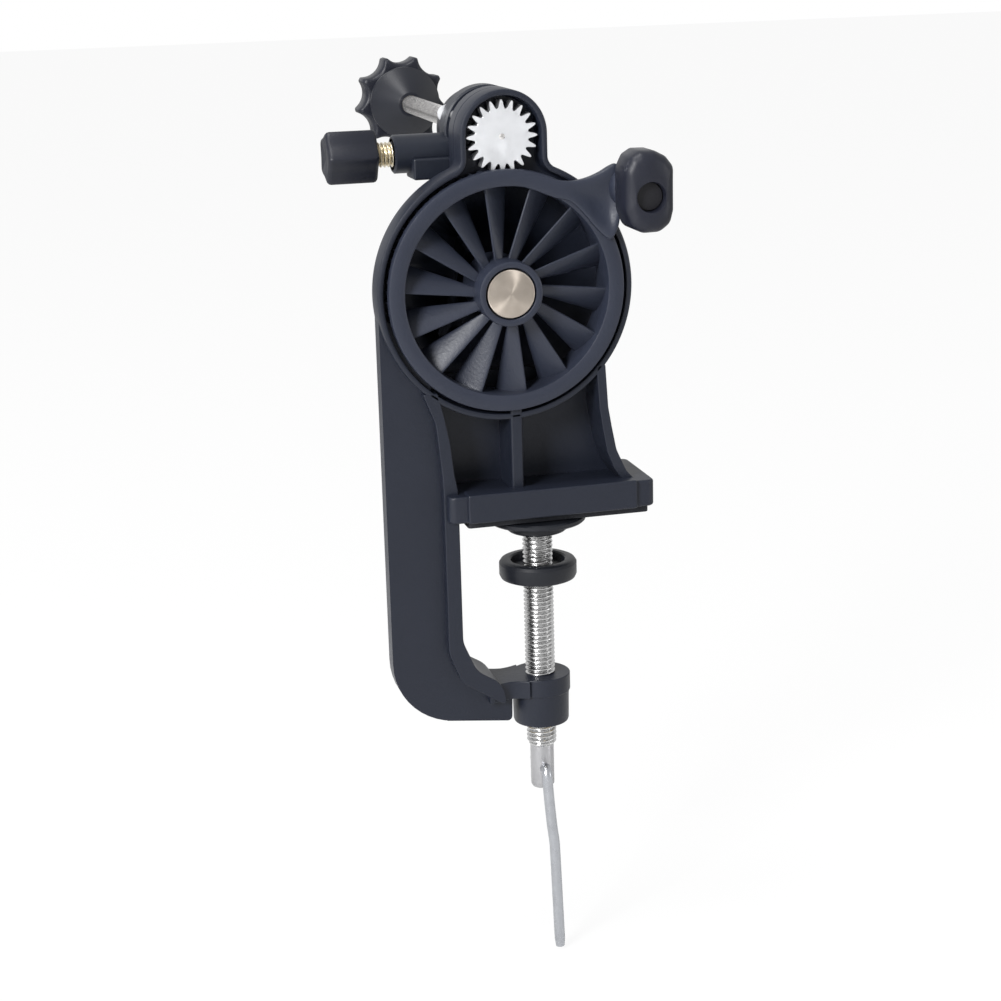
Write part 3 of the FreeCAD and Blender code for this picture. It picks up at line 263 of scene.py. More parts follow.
def shared_grain():
    """Spark-eroded grain: fine noise cells for the bump, slow noise that shifts tone and gloss a little."""
    group = bpy.data.node_groups.new("moulded grain", "ShaderNodeTree")
    for name, value in (("Scale", 900.0), ("Depth", 0.5), ("Tone", 0.12)):
        socket = group.interface.new_socket(name, in_out="INPUT", socket_type="NodeSocketFloat")
        socket.default_value = value
    group.interface.new_socket("Height", in_out="OUTPUT", socket_type="NodeSocketFloat")
    group.interface.new_socket("Shift", in_out="OUTPUT", socket_type="NodeSocketFloat")
    nodes, links = group.nodes, group.links
    given, out = nodes.new("NodeGroupInput"), nodes.new("NodeGroupOutput")
    where = nodes.new("ShaderNodeTexCoord")
    cells = nodes.new("ShaderNodeTexNoise")
    cells.inputs["Detail"].default_value = 3.0
    cells.inputs["Roughness"].default_value = 0.6
    slow = nodes.new("ShaderNodeTexNoise")
    slow.inputs["Scale"].default_value = 45.0
    slow.inputs["Detail"].default_value = 4.0
    height = nodes.new("ShaderNodeMath")
    height.operation = "MULTIPLY"
    shift = nodes.new("ShaderNodeMapRange")
    shift.inputs["To Min"].default_value = -1.0
    scaled = nodes.new("ShaderNodeMath")
    scaled.operation = "MULTIPLY"
    links.new(where.outputs["Object"], cells.inputs["Vector"])
    links.new(where.outputs["Object"], slow.inputs["Vector"])
    links.new(given.outputs["Scale"], cells.inputs["Scale"])
    links.new(cells.outputs["Fac"], height.inputs[0])
    links.new(given.outputs["Depth"], height.inputs[1])
    links.new(slow.outputs["Fac"], shift.inputs["Value"])
    links.new(shift.outputs["Result"], scaled.inputs[0])
    links.new(given.outputs["Tone"], scaled.inputs[1])
    links.new(height.outputs[0], out.inputs["Height"])
    links.new(scaled.outputs[0], out.inputs["Shift"])
    return group


grain = shared_grain()


def moulded(name, colour, roughness, scale=900.0, depth=0.5, bump=0.35, tone=0.12):
    """Moulded plastic: base colour and roughness both move with the slow tone, grain goes to the bump."""
    material = bpy.data.materials.new(name)
    material.use_nodes = True
    nodes, links = material.node_tree.nodes, material.node_tree.links
    shader = nodes["Principled BSDF"]
    shader.inputs["Specular IOR Level"].default_value = 0.24
    effect = nodes.new("ShaderNodeGroup")
    effect.node_tree = grain
    effect.inputs["Scale"].default_value = scale
    effect.inputs["Depth"].default_value = depth
    effect.inputs["Tone"].default_value = tone
    paint = nodes.new("ShaderNodeMix")
    paint.data_type = "RGBA"
    paint.inputs["A"].default_value = (*colour, 1)
    paint.inputs["B"].default_value = (*(min(1, c * 1.7 + 0.004) for c in colour), 1)
    rough = nodes.new("ShaderNodeMath")
    rough.operation = "ADD"
    rough.inputs[1].default_value = roughness
    relief = nodes.new("ShaderNodeBump")
    relief.inputs["Distance"].default_value = 0.0003
    relief.inputs["Strength"].default_value = bump
    links.new(effect.outputs["Shift"], paint.inputs["Factor"])
    links.new(effect.outputs["Shift"], rough.inputs[0])
    links.new(effect.outputs["Height"], relief.inputs["Height"])
    links.new(paint.outputs["Result"], shader.inputs["Base Color"])
    links.new(rough.outputs[0], shader.inputs["Roughness"])
    links.new(relief.outputs["Normal"], shader.inputs["Normal"])
    return material


def dress(piece, material, body, slot, *nodes):
    """Gives the piece its material and body and hides the CAD nodes it stands for; the finish slot is not
    used.
    """
    piece.data.materials.clear()
    piece.data.materials.append(material)
    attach(piece, body)
    if nodes:
        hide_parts(*nodes)


frame_plastic = moulded("frame plastic", (0.008, 0.010, 0.017), 0.42)
for part in frame_parts:
    dress(part, frame_plastic, "frame", "frame_plastic", "c_frame")

# Rear housing: the bearing cap behind the dome, in the same nylon as the frame. The brake boss and the
# block under it are moulded on its left side.
BRAKE = (14.6, 118.1)
housing_plastic = moulded("housing plastic", (0.007, 0.009, 0.015), 0.45)
block = [(-35.7, 110.4), (-22.5, 110.4), (-22.5, 117.1), (-35.7, 117.1)]
housing_parts = [
    lathe("bearing_cap", [(11.0, 0.01), (11.0, 13.4), (11.4, 14.0), (17.8, 14.0), (18.6, 13.2), (18.6, 8.0),
                          (22.0, 7.6), (22.0, 0.01)], centre=DOME),
    lathe("brake_boss", [(-40.9, 0.01), (-40.9, 5.5), (-40.4, 6.1), (-21.0, 6.1), (-21.0, 0.01)],
          axis="x", centre=BRAKE),
    slab("brake_block", block, 6.3, 18.0, edge=0.7),
]
for part in housing_parts:
    dress(part, housing_plastic, "frame", "housing_plastic", "rear_housing")

# Drive wheel: glass-filled nylon, one moulding with the gear behind the flange of its ring and with
# the crank arm. Fourteen pitched blades join the ring to the hub, which turns on the axle.
ring = lathe("wheel_ring", [
    (-12.0, 33.6), (-12.0, 37.6), (-11.8, 38.1), (-11.3, 38.3), (-9.3, 38.3), (-9.3, 36.3), (-4.5, 36.3),
    (-4.5, 34.8), (1.2, 34.8), (1.2, 33.0), (-11.3, 33.0), (-11.8, 33.2)], centre=DRUM, around=160)


def gear(name, teeth, tip, root, pitch, start, end, centre, turn, bore, gap=0.22):
    """Teeth with involute flanks: the half width angle at radius r is that at the pitch circle, plus
    inv(pressure) minus inv(a), where inv(a) = tan(a) - a and cos(a) = base radius / r."""
    pressure = math.radians(20)
    base = pitch * math.cos(pressure)
    radii = np.array([root, root + 0.2, (root + pitch) / 2, pitch, (pitch + tip) / 2, tip])
    angle = np.arccos(np.minimum(1, base / np.maximum(radii, base)))
    half = math.pi / teeth / 2 - gap / 4 / pitch + (math.tan(pressure) - pressure) - (np.tan(angle) - angle)
    half = np.minimum(half, math.pi / teeth - 0.004)
    side = np.concatenate([-half, half[::-1]])
    reach = np.concatenate([radii, radii[::-1]])
    step = turn + 2 * np.pi / teeth * np.arange(teeth)[:, None]
    a = (step + side[None]).ravel()
    r = np.broadcast_to(reach, (teeth, len(reach))).ravel()
    outer = np.stack([centre[0] + r * np.cos(a), centre[1] + r * np.sin(a)], 1)
    inner = np.stack([centre[0] + bore * np.cos(a), centre[1] + bore * np.sin(a)], 1)
    rows = [(inner, start), (outer, start), (outer, end), (inner, end)]
    grid = np.array([at_depth(flat, y) for flat, y in rows])
    return outward(surface(name, grid, wrap_rows=True, sharp=25))


MODULE = 1.0711
wheel_gear = gear("wheel_gear", 70, 38.2, 36.3, 35 * MODULE, -9.3, -4.5, DRUM, math.pi / 2, 35.0)


def wheel_blades(count=14, thickness=1.1):
    """Each blade spans two straight lines, near edge N(u) and far edge F(u), u running from hub to ring.

    Across, it follows N + v (F - N) with a hollow of 0.45 u sin(pi v), and its thickness lies along the
    cross product of the two directions. v = (1 - sign(cos a)|cos a|^0.7) / 2 carries the section round."""
    u = np.linspace(0, 1, 12)[:, None, None]
    a = np.linspace(0, 2 * np.pi, 44, endpoint=False)[None, :, None]
    v = (1 - np.sign(np.cos(a)) * np.abs(np.cos(a)) ** 0.7) / 2
    side = np.sign(np.sin(a)) * np.abs(np.sin(a)) ** 0.45 * thickness / 2
    near = np.array([8.6, -8.9, 1.4]) + u * np.array([25.2, 0.0, -2.8])
    far = np.array([8.6, -8.2, -1.2]) + u * np.array([25.2, 7.2, -9.4])
    across = far - near
    normal = np.cross(np.array([1.0, 0.1, -0.2]), across)
    normal /= np.linalg.norm(normal, axis=-1, keepdims=True)
    shape = near + across * v + normal * (side - 0.45 * u * np.sin(np.pi * v))
    turn = (2 * np.pi / count * np.arange(count))[:, None, None]
    x = DRUM[0] + shape[..., 0] * np.cos(turn) - shape[..., 2] * np.sin(turn)
    z = DRUM[1] + shape[..., 0] * np.sin(turn) + shape[..., 2] * np.cos(turn)
    points = np.stack([x, np.broadcast_to(shape[..., 1], x.shape), z], -1)
    rows, columns = points.shape[1:3]
    one_blade = np.array(grid_faces(rows, columns))
    faces = np.vstack([one_blade + number * rows * columns for number in range(count)]).tolist()
    return outward(finish_mesh("wheel_blades", points.reshape(-1, 3), faces, 40))


blades = wheel_blades()
hub = lathe("wheel_hub", [
    (-16.0, 8.9), (-16.0, 9.7), (-15.8, 10.15), (-15.3, 10.35), (6.4, 10.35), (7.0, 9.8), (7.0, 6.1),
    (-13.6, 6.1), (-13.6, 8.2), (-15.6, 8.2), (-15.9, 8.4)], centre=DRUM, around=96)
wheel_plastic = moulded("wheel plastic", (0.016, 0.019, 0.030), 0.38, bump=0.45)


def crank_arm():
    """Loft along the arm: each station has a top edge X, Z, a bottom edge X, Z, a depth f for its front
    face and a hollow h.

    Across a station the front is f + h sin(pi v)^2, deepest near the knob, and the back stays 3 mm
    behind f. Stations are joined by the cubic that keeps their positions and slopes."""
    stations = np.array([
        (3.0, 38.2, 2.6, 33.2, -12.0, 0.0), (7.0, 37.4, 6.2, 32.4, -12.1, 0.0),
        (10.8, 36.1, 9.7, 31.2, -12.3, 0.0), (16.0, 34.4, 15.4, 28.8, -12.7, 0.0),
        (21.0, 33.7, 21.0, 27.0, -13.2, 0.2), (25.6, 34.4, 25.4, 22.6, -13.8, 0.9),
        (29.6, 36.0, 29.6, 17.5, -14.6, 1.8), (32.6, 37.8, 33.0, 15.0, -15.3, 2.0),
        (34.6, 38.6, 35.2, 18.0, -15.6, 1.2), (35.6, 38.0, 36.2, 22.0, -15.2, 0.4),
        (36.0, 36.5, 36.4, 25.0, -14.0, 0.0)])
    given = np.linspace(0, 1, len(stations))
    fine = np.linspace(0, 1, 61)
    slope = np.gradient(stations, given, axis=0)
    k = np.clip(np.searchsorted(given, fine, side="right") - 1, 0, len(given) - 2)
    step = given[1]
    t = ((fine - given[k]) / step)[:, None]
    smooth = ((2 * t ** 3 - 3 * t ** 2 + 1) * stations[k] + (t ** 3 - 2 * t ** 2 + t) * step * slope[k]
              + (3 * t ** 2 - 2 * t ** 3) * stations[k + 1] + (t ** 3 - t ** 2) * step * slope[k + 1])
    a = np.linspace(0, 2 * np.pi, 64, endpoint=False)[None, :]
    v = (1 - np.sign(np.cos(a)) * np.abs(np.cos(a)) ** 0.85) / 2
    front = np.sign(np.sin(a)) * np.abs(np.sin(a)) ** 0.3
    top_x, top_z, low_x, low_z, depth, hollow = [column[:, None] for column in smooth.T]
    x = DRUM[0] + top_x + (low_x - top_x) * v
    z = DRUM[1] + top_z + (low_z - top_z) * v
    y = depth + 1.5 - 1.5 * front + np.where(front > 0, 1, 0) * hollow * np.sin(np.pi * v) ** 2
    return outward(surface("crank_arm", np.stack([x, y, z], -1), caps=("first", "last"), sharp=50))


arm = crank_arm()
neck = lathe("arm_neck", [(-10.5, 0.01), (-10.5, 6.8), (-11.2, 7.6), (-15.0, 7.4), (-16.6, 7.0), (-17.2, 6.4),
                          (-17.2, 0.01)], centre=(29.4, 107.4), around=64)
for part in (ring, wheel_gear, blades, hub, arm, neck):
    dress(part, wheel_plastic, "wheel", "wheel_plastic", "drive_wheel")

# Crank knob: moulded plastic grip that spins on its pin. Flattened sides, a soft ridge down the front
# and a deep round hole with the head of the pin at its floor.
GRIP = (30.3, 105.7)


def grip_shell():
    """Stations of one outline, inset at both ends, then the hole: the front face falls away from its
    ridge by 0.05 |dx|^1.5 to either side, dx being the distance from the ridge."""
    ridge, shoulder, bore = 29.6, 28.6, 4.6
    outline = rounded_outline(
        [(22.3, 101.6), (24.4, 96.2), (28.2, 94.5), (33.6, 94.6), (37.0, 97.0), (38.1, 101.0), (38.1, 114.6),
         (35.6, 117.8), (31.8, 119.8), (27.0, 119.9), (24.2, 118.2), (22.3, 114.4)],
        [5, 4, 4, 4, 4, 3, 3, 3, 3, 2, 2, 5], 8)
    mix = np.linspace(0, 1, 12, endpoint=False)[None, :, None]
    ray = (outline[:, None] * (1 - mix) + np.roll(outline, -1, axis=0)[:, None] * mix).reshape(-1, 2) - GRIP
    angle = np.arctan2(ray[:, 1], ray[:, 0])
    order = np.argsort(angle)
    turn = np.linspace(-np.pi, np.pi, 180, endpoint=False)
    length = np.interp(turn, angle[order], np.linalg.norm(ray, axis=1)[order], period=2 * np.pi)[:, None]
    unit = np.stack([np.cos(turn), np.sin(turn)], 1)

    def inset(amount):
        return GRIP + unit * (length - amount)

    stations = [
        (GRIP + unit * 3.1, -18.3), (inset(1.6), -18.3), (inset(0.5), -18.7), (inset(0.0), -19.8),
        (inset(0.0), -shoulder), (inset(0.35), -30.0), (inset(1.0), -31.0), (inset(2.0), -31.7),
        (inset(3.2), -32.0), (GRIP + unit * 5.2, -32.0), (GRIP + unit * 4.8, -31.9),
        (GRIP + unit * bore, -31.4), (GRIP + unit * bore, -27.0), (GRIP + unit * 3.1, -27.0)]
    grid = []
    for flat, y in stations:
        lean = 0.05 * np.abs(flat[:, 0] - ridge) ** 1.5 * np.clip((-y - shoulder) / 3.0, 0, 1)
        grid.append(at_depth(flat, y + np.where(y < -shoulder, lean, 0)))
    return outward(surface("grip_shell", np.array(grid), wrap_rows=True, sharp=40))


grip_plastic = moulded("grip plastic", (0.008, 0.009, 0.015), 0.40, bump=0.25)
dress(grip_shell(), grip_plastic, "crank_grip", "grip_plastic", "crank_knob")

# Small metal parts: pin and washer of the knob, sintered bushes, brake collar and plug, collet, brass
# inserts, washer and nut of the axle. Turned or pressed, mostly hidden, so they keep the CAD's meshes.


def metal(name, colour, roughness, rings=0.0, pitch=900.0, axis="Z", mottle=0.15):
    """Bare metal: noise moves tone and roughness, waves along an axis make turning marks in the bump."""
    material = bpy.data.materials.new(name)
    material.use_nodes = True
    nodes, links = material.node_tree.nodes, material.node_tree.links
    shader = nodes["Principled BSDF"]
    shader.inputs["Metallic"].default_value = 1.0
    where = nodes.new("ShaderNodeTexCoord")
    cloud = nodes.new("ShaderNodeTexNoise")
    cloud.inputs["Scale"].default_value = 260.0
    cloud.inputs["Detail"].default_value = 6.0
    tint = nodes.new("ShaderNodeMix")
    tint.data_type = "RGBA"
    tint.inputs["A"].default_value = (*(c * (1 - mottle) for c in colour), 1)
    tint.inputs["B"].default_value = (*(min(1, c * (1 + mottle)) for c in colour), 1)
    rough = nodes.new("ShaderNodeMapRange")
    rough.inputs["To Min"].default_value = roughness * 0.75
    rough.inputs["To Max"].default_value = roughness * 1.3
    wave = nodes.new("ShaderNodeTexWave")
    wave.bands_direction = axis
    wave.inputs["Scale"].default_value = pitch
    wave.inputs["Distortion"].default_value = 1.5
    relief = nodes.new("ShaderNodeBump")
    relief.inputs["Strength"].default_value = rings
    relief.inputs["Distance"].default_value = 0.0002
    links.new(where.outputs["Object"], cloud.inputs["Vector"])
    links.new(where.outputs["Object"], wave.inputs["Vector"])
    links.new(cloud.outputs["Fac"], tint.inputs["Factor"])
    links.new(cloud.outputs["Fac"], rough.inputs["Value"])
    links.new(wave.outputs["Fac"], relief.inputs["Height"])
    links.new(tint.outputs["Result"], shader.inputs["Base Color"])
    links.new(rough.outputs["Result"], shader.inputs["Roughness"])
    links.new(relief.outputs["Normal"], shader.inputs["Normal"])
    return material


bright_steel = metal("bright steel", (0.46, 0.46, 0.46), 0.26, rings=0.15)
zinc = metal("zinc plate", (0.66, 0.67, 0.69), 0.42, rings=0.05, mottle=0.1)
bronze = metal("sintered bronze", (0.50, 0.36, 0.20), 0.38)
brass = metal("turned brass", (0.62, 0.52, 0.34), 0.28)
# The knob's pin gets a near-black plastic instead of steel: painted shade that keeps the deep hole it sits in
# dark.
pin_painted_shade = moulded("knob pin painted shade", (0.006, 0.006, 0.008), 0.5)
small_parts = (
    (pin_painted_shade, "knob_pin"), (bright_steel, "brake_collar"), (zinc, "knob_washer axle_washer axle_nut"),
    (bronze, "wheel_bush front_bush rear_bush brake_plug collet"), (brass, "star_insert clamp_nut brake_nut"))
for material, node_names in small_parts:
    for node in node_names.split():
        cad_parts[node].data.materials.clear()
        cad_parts[node].data.materials.append(material)

# Wheel axle: turned bronze pin with a broad flat head, seated in the hub's recess with a dark gap round
# it. Turning marks run round the axis, so the light draws a streak across the head.
axle_metal = metal("turned axle", (0.34, 0.30, 0.26), 0.36, mottle=0.22)
nodes, links = axle_metal.node_tree.nodes, axle_metal.node_tree.links
nodes["Principled BSDF"].inputs["Anisotropic"].default_value = 0.85
place = nodes.new("ShaderNodeTexCoord")
offset = nodes.new("ShaderNodeVectorMath")
offset.operation = "SUBTRACT"
offset.inputs[1].default_value = (DRUM[0] / 1000, 0, DRUM[1] / 1000)
around_axis = nodes.new("ShaderNodeVectorMath")
around_axis.operation = "CROSS_PRODUCT"
around_axis.inputs[0].default_value = (0, 1, 0)
links.new(place.outputs["Object"], offset.inputs[0])
links.new(offset.outputs[0], around_axis.inputs[1])
links.new(around_axis.outputs[0], nodes["Principled BSDF"].inputs["Tangent"])
axle = lathe("axle", [
    (-15.6, 0.01), (-15.6, 7.2), (-15.45, 7.6), (-15.1, 7.8), (-13.7, 7.8), (-13.7, 4.0), (8.0, 4.0),
    (8.0, 3.0), (16.4, 3.0), (17.0, 2.4), (17.0, 0.01)], centre=DRUM, around=96, closed=False)
dress(axle, axle_metal, "frame", "axle_bronze", "wheel_axle")

# Pinion: zinc-plated steel gear with twenty pointed teeth, in mesh with the wheel and pressed on the
# spindle.
PINION = (-10.8, 124.3)


def pinion_gear(teeth=20):
    """Pointed teeth: each flank joins the half width angles listed against the radii, from root to tip."""
    radii = np.array([8.6, 8.75, 9.3, 10.0, 10.7, 11.2, 11.4])
    half = np.array([0.142, 0.118, 0.088, 0.067, 0.046, 0.027, 0.012])
    side = np.concatenate([-half, half[::-1]])
    reach = np.concatenate([radii, radii[::-1]])
    a = (2 * np.pi / teeth * np.arange(teeth)[:, None] + math.pi / 2 + side[None]).ravel()
    r = np.tile(reach, teeth)

    def outline_at(scale, cut=0.0):
        reduced = r * scale - cut
        return np.stack([PINION[0] + reduced * np.cos(a), PINION[1] + reduced * np.sin(a)], 1)

    rows = [(outline_at(0.0005), -9.0), (outline_at(0.3), -9.0), (outline_at(1, 0.12), -9.0),
            (outline_at(1), -8.9), (outline_at(1), -4.6), (outline_at(1, 0.12), -4.5),
            (outline_at(0.3), -4.5)]
    grid = np.array([at_depth(flat, y) for flat, y in rows])
    return outward(surface("pinion_gear", grid, sharp=25, caps=("last",)))


dress(pinion_gear(), zinc, "spindle", "bright_steel", "pinion")

# Spindle: ground steel rod with fine rings along it. It runs in the two bushes behind the dome and
# carries the spool between the cones.
rod = lathe("spindle_rod", [(-9.15, 0.01), (-9.15, 0.6), (-9.02, 0.9), (-8.0, 3.25), (149.4, 3.25),
                            (150.0, 2.65), (150.0, 0.01)], centre=PINION, around=48, closed=False)
rod_steel = metal("spindle steel", (0.52, 0.51, 0.50), 0.24, rings=0.5, pitch=420.0, axis="Y")
dress(rod, rod_steel, "spindle", "bright_steel", "spindle")

# Drive cone: black plastic cone fixed on the spindle behind the housing. The spool is pressed on it.
cone_plastic = moulded("cone plastic", (0.006, 0.007, 0.011), 0.40, bump=0.15, depth=0.3)
knob_plastic = moulded("knob plastic", (0.007, 0.008, 0.013), 0.42, bump=0.3)
drive_cone = lathe("drive_cone_shell", [
    (23.0, 3.3), (23.0, 12.4), (23.4, 13.0), (24.6, 13.0), (25.2, 12.6), (36.0, 4.8), (37.0, 4.6),
    (38.6, 4.6), (39.0, 4.2), (39.0, 3.3)], centre=PINION)
dress(drive_cone, cone_plastic, "spindle", "cone_plastic", "drive_cone")

# Outer cone: the same plastic. It slides along the spindle and grips it through its collet.
outer_cone = lathe("outer_cone_shell", [
    (123.0, 3.3), (123.0, 4.3), (123.4, 4.8), (131.6, 12.5), (132.2, 13.0), (133.6, 13.0), (134.0, 12.6),
    (134.0, 4.7)], centre=PINION)
dress(outer_cone, cone_plastic, "outer_cone", "cone_plastic", "outer_cone")

# Star knob: moulded black plastic disc with nine scallops, round a brass insert. It tightens the collet
# of the outer cone on the spindle.


def star_shell():
    """Disc with nine scallops cut by circles of radius s whose centres lie at the distance D: between
    tips the outline is D cos(d) - sqrt(s^2 - (D sin(d))^2), blended softly into the disc at the tips."""
    disc, scallop, distance, softness = 16.9, 6.9, 20.9, 0.28
    turn = np.linspace(0, 2 * np.pi, 360, endpoint=False)
    d = (turn - math.pi / 2 + math.pi / 9) % (2 * math.pi / 9) - math.pi / 9
    under = np.clip(scallop ** 2 - (distance * np.sin(d)) ** 2, 0, None)
    cut = np.where(under > 0, distance * np.cos(d) - np.sqrt(under), 25.0)
    edge = -np.log(np.exp(-cut / softness) + np.exp(-disc / softness)) * softness
    unit = np.stack([np.cos(turn), np.sin(turn)], 1)

    def ring_at(inset, y):
        return at_depth(np.array(PINION) + unit * (edge - inset)[:, None], y)

    def circle(radius, y):
        return at_depth(np.array(PINION) + unit * radius, y)

    grid = np.array([
        circle(7.1, 135.5), circle(12.2, 135.5), circle(12.6, 136.2), ring_at(1.9, 136.2),
        ring_at(1.1, 136.3), ring_at(0.4, 136.9), ring_at(0.0, 138.0), ring_at(0.0, 145.2),
        ring_at(0.5, 146.3), ring_at(1.5, 146.9), circle(11.0, 147.0), circle(7.1, 147.0)])
    return outward(surface("star_shell", grid, wrap_rows=True, sharp=45))


dress(star_shell(), knob_plastic, "star", "knob_plastic", "star_knob")

# Brake screw: brass-coloured M8 screw, pitch 1.25, in the boss of the housing. It pushes the plug on the
# collar of the spindle.


def thread(name, start, end, major, depth, pitch, axis, centre, inner=0.01, around=48, per_turn=10):
    """Screw thread: radius = major - depth (1 - tri(s)) where s = (position + pitch turn / 2 pi) / pitch
    and tri is a triangle wave with its crest a little flattened; both ends taper to the root."""
    count = int(abs(end - start) / pitch * per_turn)
    p = np.linspace(start, end, count)[:, None]
    turn = np.linspace(0, 2 * np.pi, around, endpoint=False)[None, :]
    phase = (p / pitch - turn / (2 * np.pi)) % 1.0
    crest = np.clip(1.25 * (1 - np.abs(2 * phase - 1)), 0, 1)
    fade = np.clip(np.minimum(np.abs(p - start), np.abs(p - end)) / (0.8 * pitch), 0, 1)
    r = major - depth * (1 - crest * fade)
    position = np.broadcast_to(p, r.shape)
    r = np.vstack([np.full((1, around), inner), r, np.full((1, around), inner)])
    position = np.vstack([position[:1], position, position[-1:]])
    a, b = centre[0] + r * np.cos(turn), centre[1] + r * np.sin(turn)
    order = {"y": (a, position, b), "z": (a, b, position), "x": (position, a, b)}[axis]
    return outward(surface(name, np.stack(order, -1), sharp=60))


brake_thread = thread("brake_thread", -54.5, -26.0, 4.0, 0.72, 1.25, "x", BRAKE)
screw_brass = metal("screw brass", (0.56, 0.50, 0.38), 0.30, mottle=0.2)
dress(brake_thread, screw_brass, "brake_screw", "insert_brass", "brake_screw")

# Brake knob: black plastic with five sides, moulded on the end of the brake screw.


def brake_grip():
    """Five faces between round ridges, one ridge to the front: the radius is
    8.65 - 1.75 (sqrt(sin(2.5 t)^2 + 0.012) - 0.11), t being the angle from that ridge."""
    turn = np.linspace(0, 2 * np.pi, 240, endpoint=False)
    away = turn - math.pi
    edge = 8.65 - 1.75 * (np.sqrt(np.sin(2.5 * away) ** 2 + 0.012) - 0.11)
    unit = np.stack([np.cos(turn), np.sin(turn)], 1)

    def ring_at(inset, x):
        flat = np.array(BRAKE) + unit * np.maximum(edge - inset, 0.01)[:, None]
        return np.column_stack([np.full(len(flat), x), flat])

    stations = [(99, -61.9), (2.6, -62.3), (1.5, -62.6), (0.7, -62.4), (0.2, -61.9), (0, -61.2), (0, -47.6),
                (0.25, -46.9), (0.9, -46.4), (3.4, -46.4)]
    grid = np.array([ring_at(inset, x) for inset, x in stations])
    return outward(surface("brake_grip", grid, sharp=40, caps=("last",)))


dress(brake_grip(), knob_plastic, "brake_screw", "knob_plastic", "brake_knob")

# Housing screws: two plain zinc-plated pan heads on the back of the rear housing.
for number, (x, z) in enumerate(((-22.0, 129.7), (1.2, 129.7))):
    head = lathe(f"housing_screw_{number}", [
        (18.0, 0.01), (18.6, 2.75), (19.3, 2.6), (19.9, 1.9), (20.2, 0.9), (20.2, 0.01)],
        centre=(x, z), around=48, closed=False)
    dress(head, zinc, "frame", "fastener_steel")

# Clamp screw: bright steel M10 rod, pitch 1.5, in the boss of the lower arm. Its plain shank below the
# thread has the cross hole for the tommy bar.
screw = thread("clamp_thread", -81.3, -4.0, 5.0, 0.92, 1.5, "z", (0, 0), around=64, per_turn=12)
dress(screw, bright_steel, "clamp_screw", "bright_steel", "clamp_screw")
shank = lathe("clamp_shank", [(-80.0, 0.01), (-80.0, 4.0), (-95.6, 4.0), (-96.5, 3.5), (-96.8, 2.8),
                              (-96.8, 0.01)], axis="z", around=64, closed=False)
shank_steel = metal("shank steel", (0.36, 0.36, 0.37), 0.30, rings=0.3, pitch=700.0)
dress(shank, shank_steel, "clamp_screw", "bright_steel", "clamp_screw")

# Tommy bar: bent steel bar through the shank. It swings in the cross hole and turns the clamp screw.


def tommy():
    """Round bar along a path: a straight run through the shank, a tight bend, then a gently bowed drop.
    Each section is a circle square to the path's direction."""
    hole, knee, bend_r = -89.3, -91.3, 2.0
    run = np.array([(0, 7.6, hole), (0, 2.0, hole), (0, -3.6, hole)], float)
    bend = np.linspace(0, math.pi / 2, 10)[1:, None]
    elbow = np.array([0, -4.0, knee]) + np.hstack([0 * bend, -bend_r * np.sin(bend), bend_r * np.cos(bend)])
    drop = np.linspace(0, 1, 26)[1:, None]
    bow = 1.9 * np.minimum(drop * 2.6, 1) ** 1.3 + 1.4 * np.maximum(drop - 0.3, 0) / 0.7
    fall = np.hstack([bow, -6.0 + 0 * drop, knee - 63.4 * drop])
    path = np.vstack([run, elbow, fall])
    along = np.gradient(path, axis=0)
    along /= np.linalg.norm(along, axis=1)[:, None]
    side = np.cross(along, (1.0, 0, 0))
    side /= np.linalg.norm(side, axis=1)[:, None]
    other = np.cross(along, side)
    turn = np.linspace(0, 2 * np.pi, 32, endpoint=False)
    thick = np.full(len(path), 1.8)
    thick[0], thick[-1] = 2.2, 1.5
    circles = side[:, None] * np.cos(turn)[None, :, None] + other[:, None] * np.sin(turn)[None, :, None]
    points = path[:, None] + circles * thick[:, None, None]
    return outward(surface("tommy", points, caps=("first", "last"), sharp=50))


bar_steel = metal("bar steel", (0.34, 0.35, 0.37), 0.28, rings=0.1)
dress(tommy(), bar_steel, "tommy_bar", "bright_steel", "tommy_bar")

# Lock ring: loose black plastic ring on the clamp screw, with a shallow recess in its top.
ring_plastic = moulded("lock ring plastic", (0.006, 0.007, 0.010), 0.40, bump=0.2)
lock_ring = lathe("lock_ring_shell", [
    (-18.0, 5.1), (-18.0, 8.6), (-15.9, 9.0), (-15.5, 9.6), (-15.5, 11.4), (-15.9, 12.3), (-16.8, 12.9),
    (-20.6, 12.9), (-21.7, 12.4), (-22.2, 11.2), (-22.2, 5.1)], axis="z")
dress(lock_ring, ring_plastic, "lock_ring", "ring_plastic", "lock_ring")

# Clamp foot: black plastic foot of two round steps that swivels on the end of the clamp screw.
foot_plastic = moulded("foot plastic", (0.006, 0.007, 0.010), 0.45, bump=0.2)
foot = lathe("foot_discs", [
    (-0.3, 0.01), (-0.3, 15.5), (-0.7, 16.1), (-1.8, 16.1), (-2.3, 15.6), (-2.5, 11.0), (-2.9, 10.3),
    (-5.0, 10.1), (-5.6, 9.4), (-5.6, 0.01)], axis="z")
dress(foot, foot_plastic, "clamp_foot", "foot_plastic", "clamp_foot")

# Jaw pad: flat rubber pad let into the underside of the jaw plate. The clamp foot presses the table
# against it.
pad_rubber = moulded("pad rubber", (0.006, 0.007, 0.010), 0.62, bump=0.4)
pad_outline = rounded_outline([(-26.0, -11.5), (35.0, -11.5), (35.0, 13.5), (-26.0, 13.5)], 1.2, 5)
dress(slab("pad", pad_outline, 0.0, 3.0, axis="z", edge=0.3), pad_rubber, "frame", "pad_rubber", "jaw_pad")

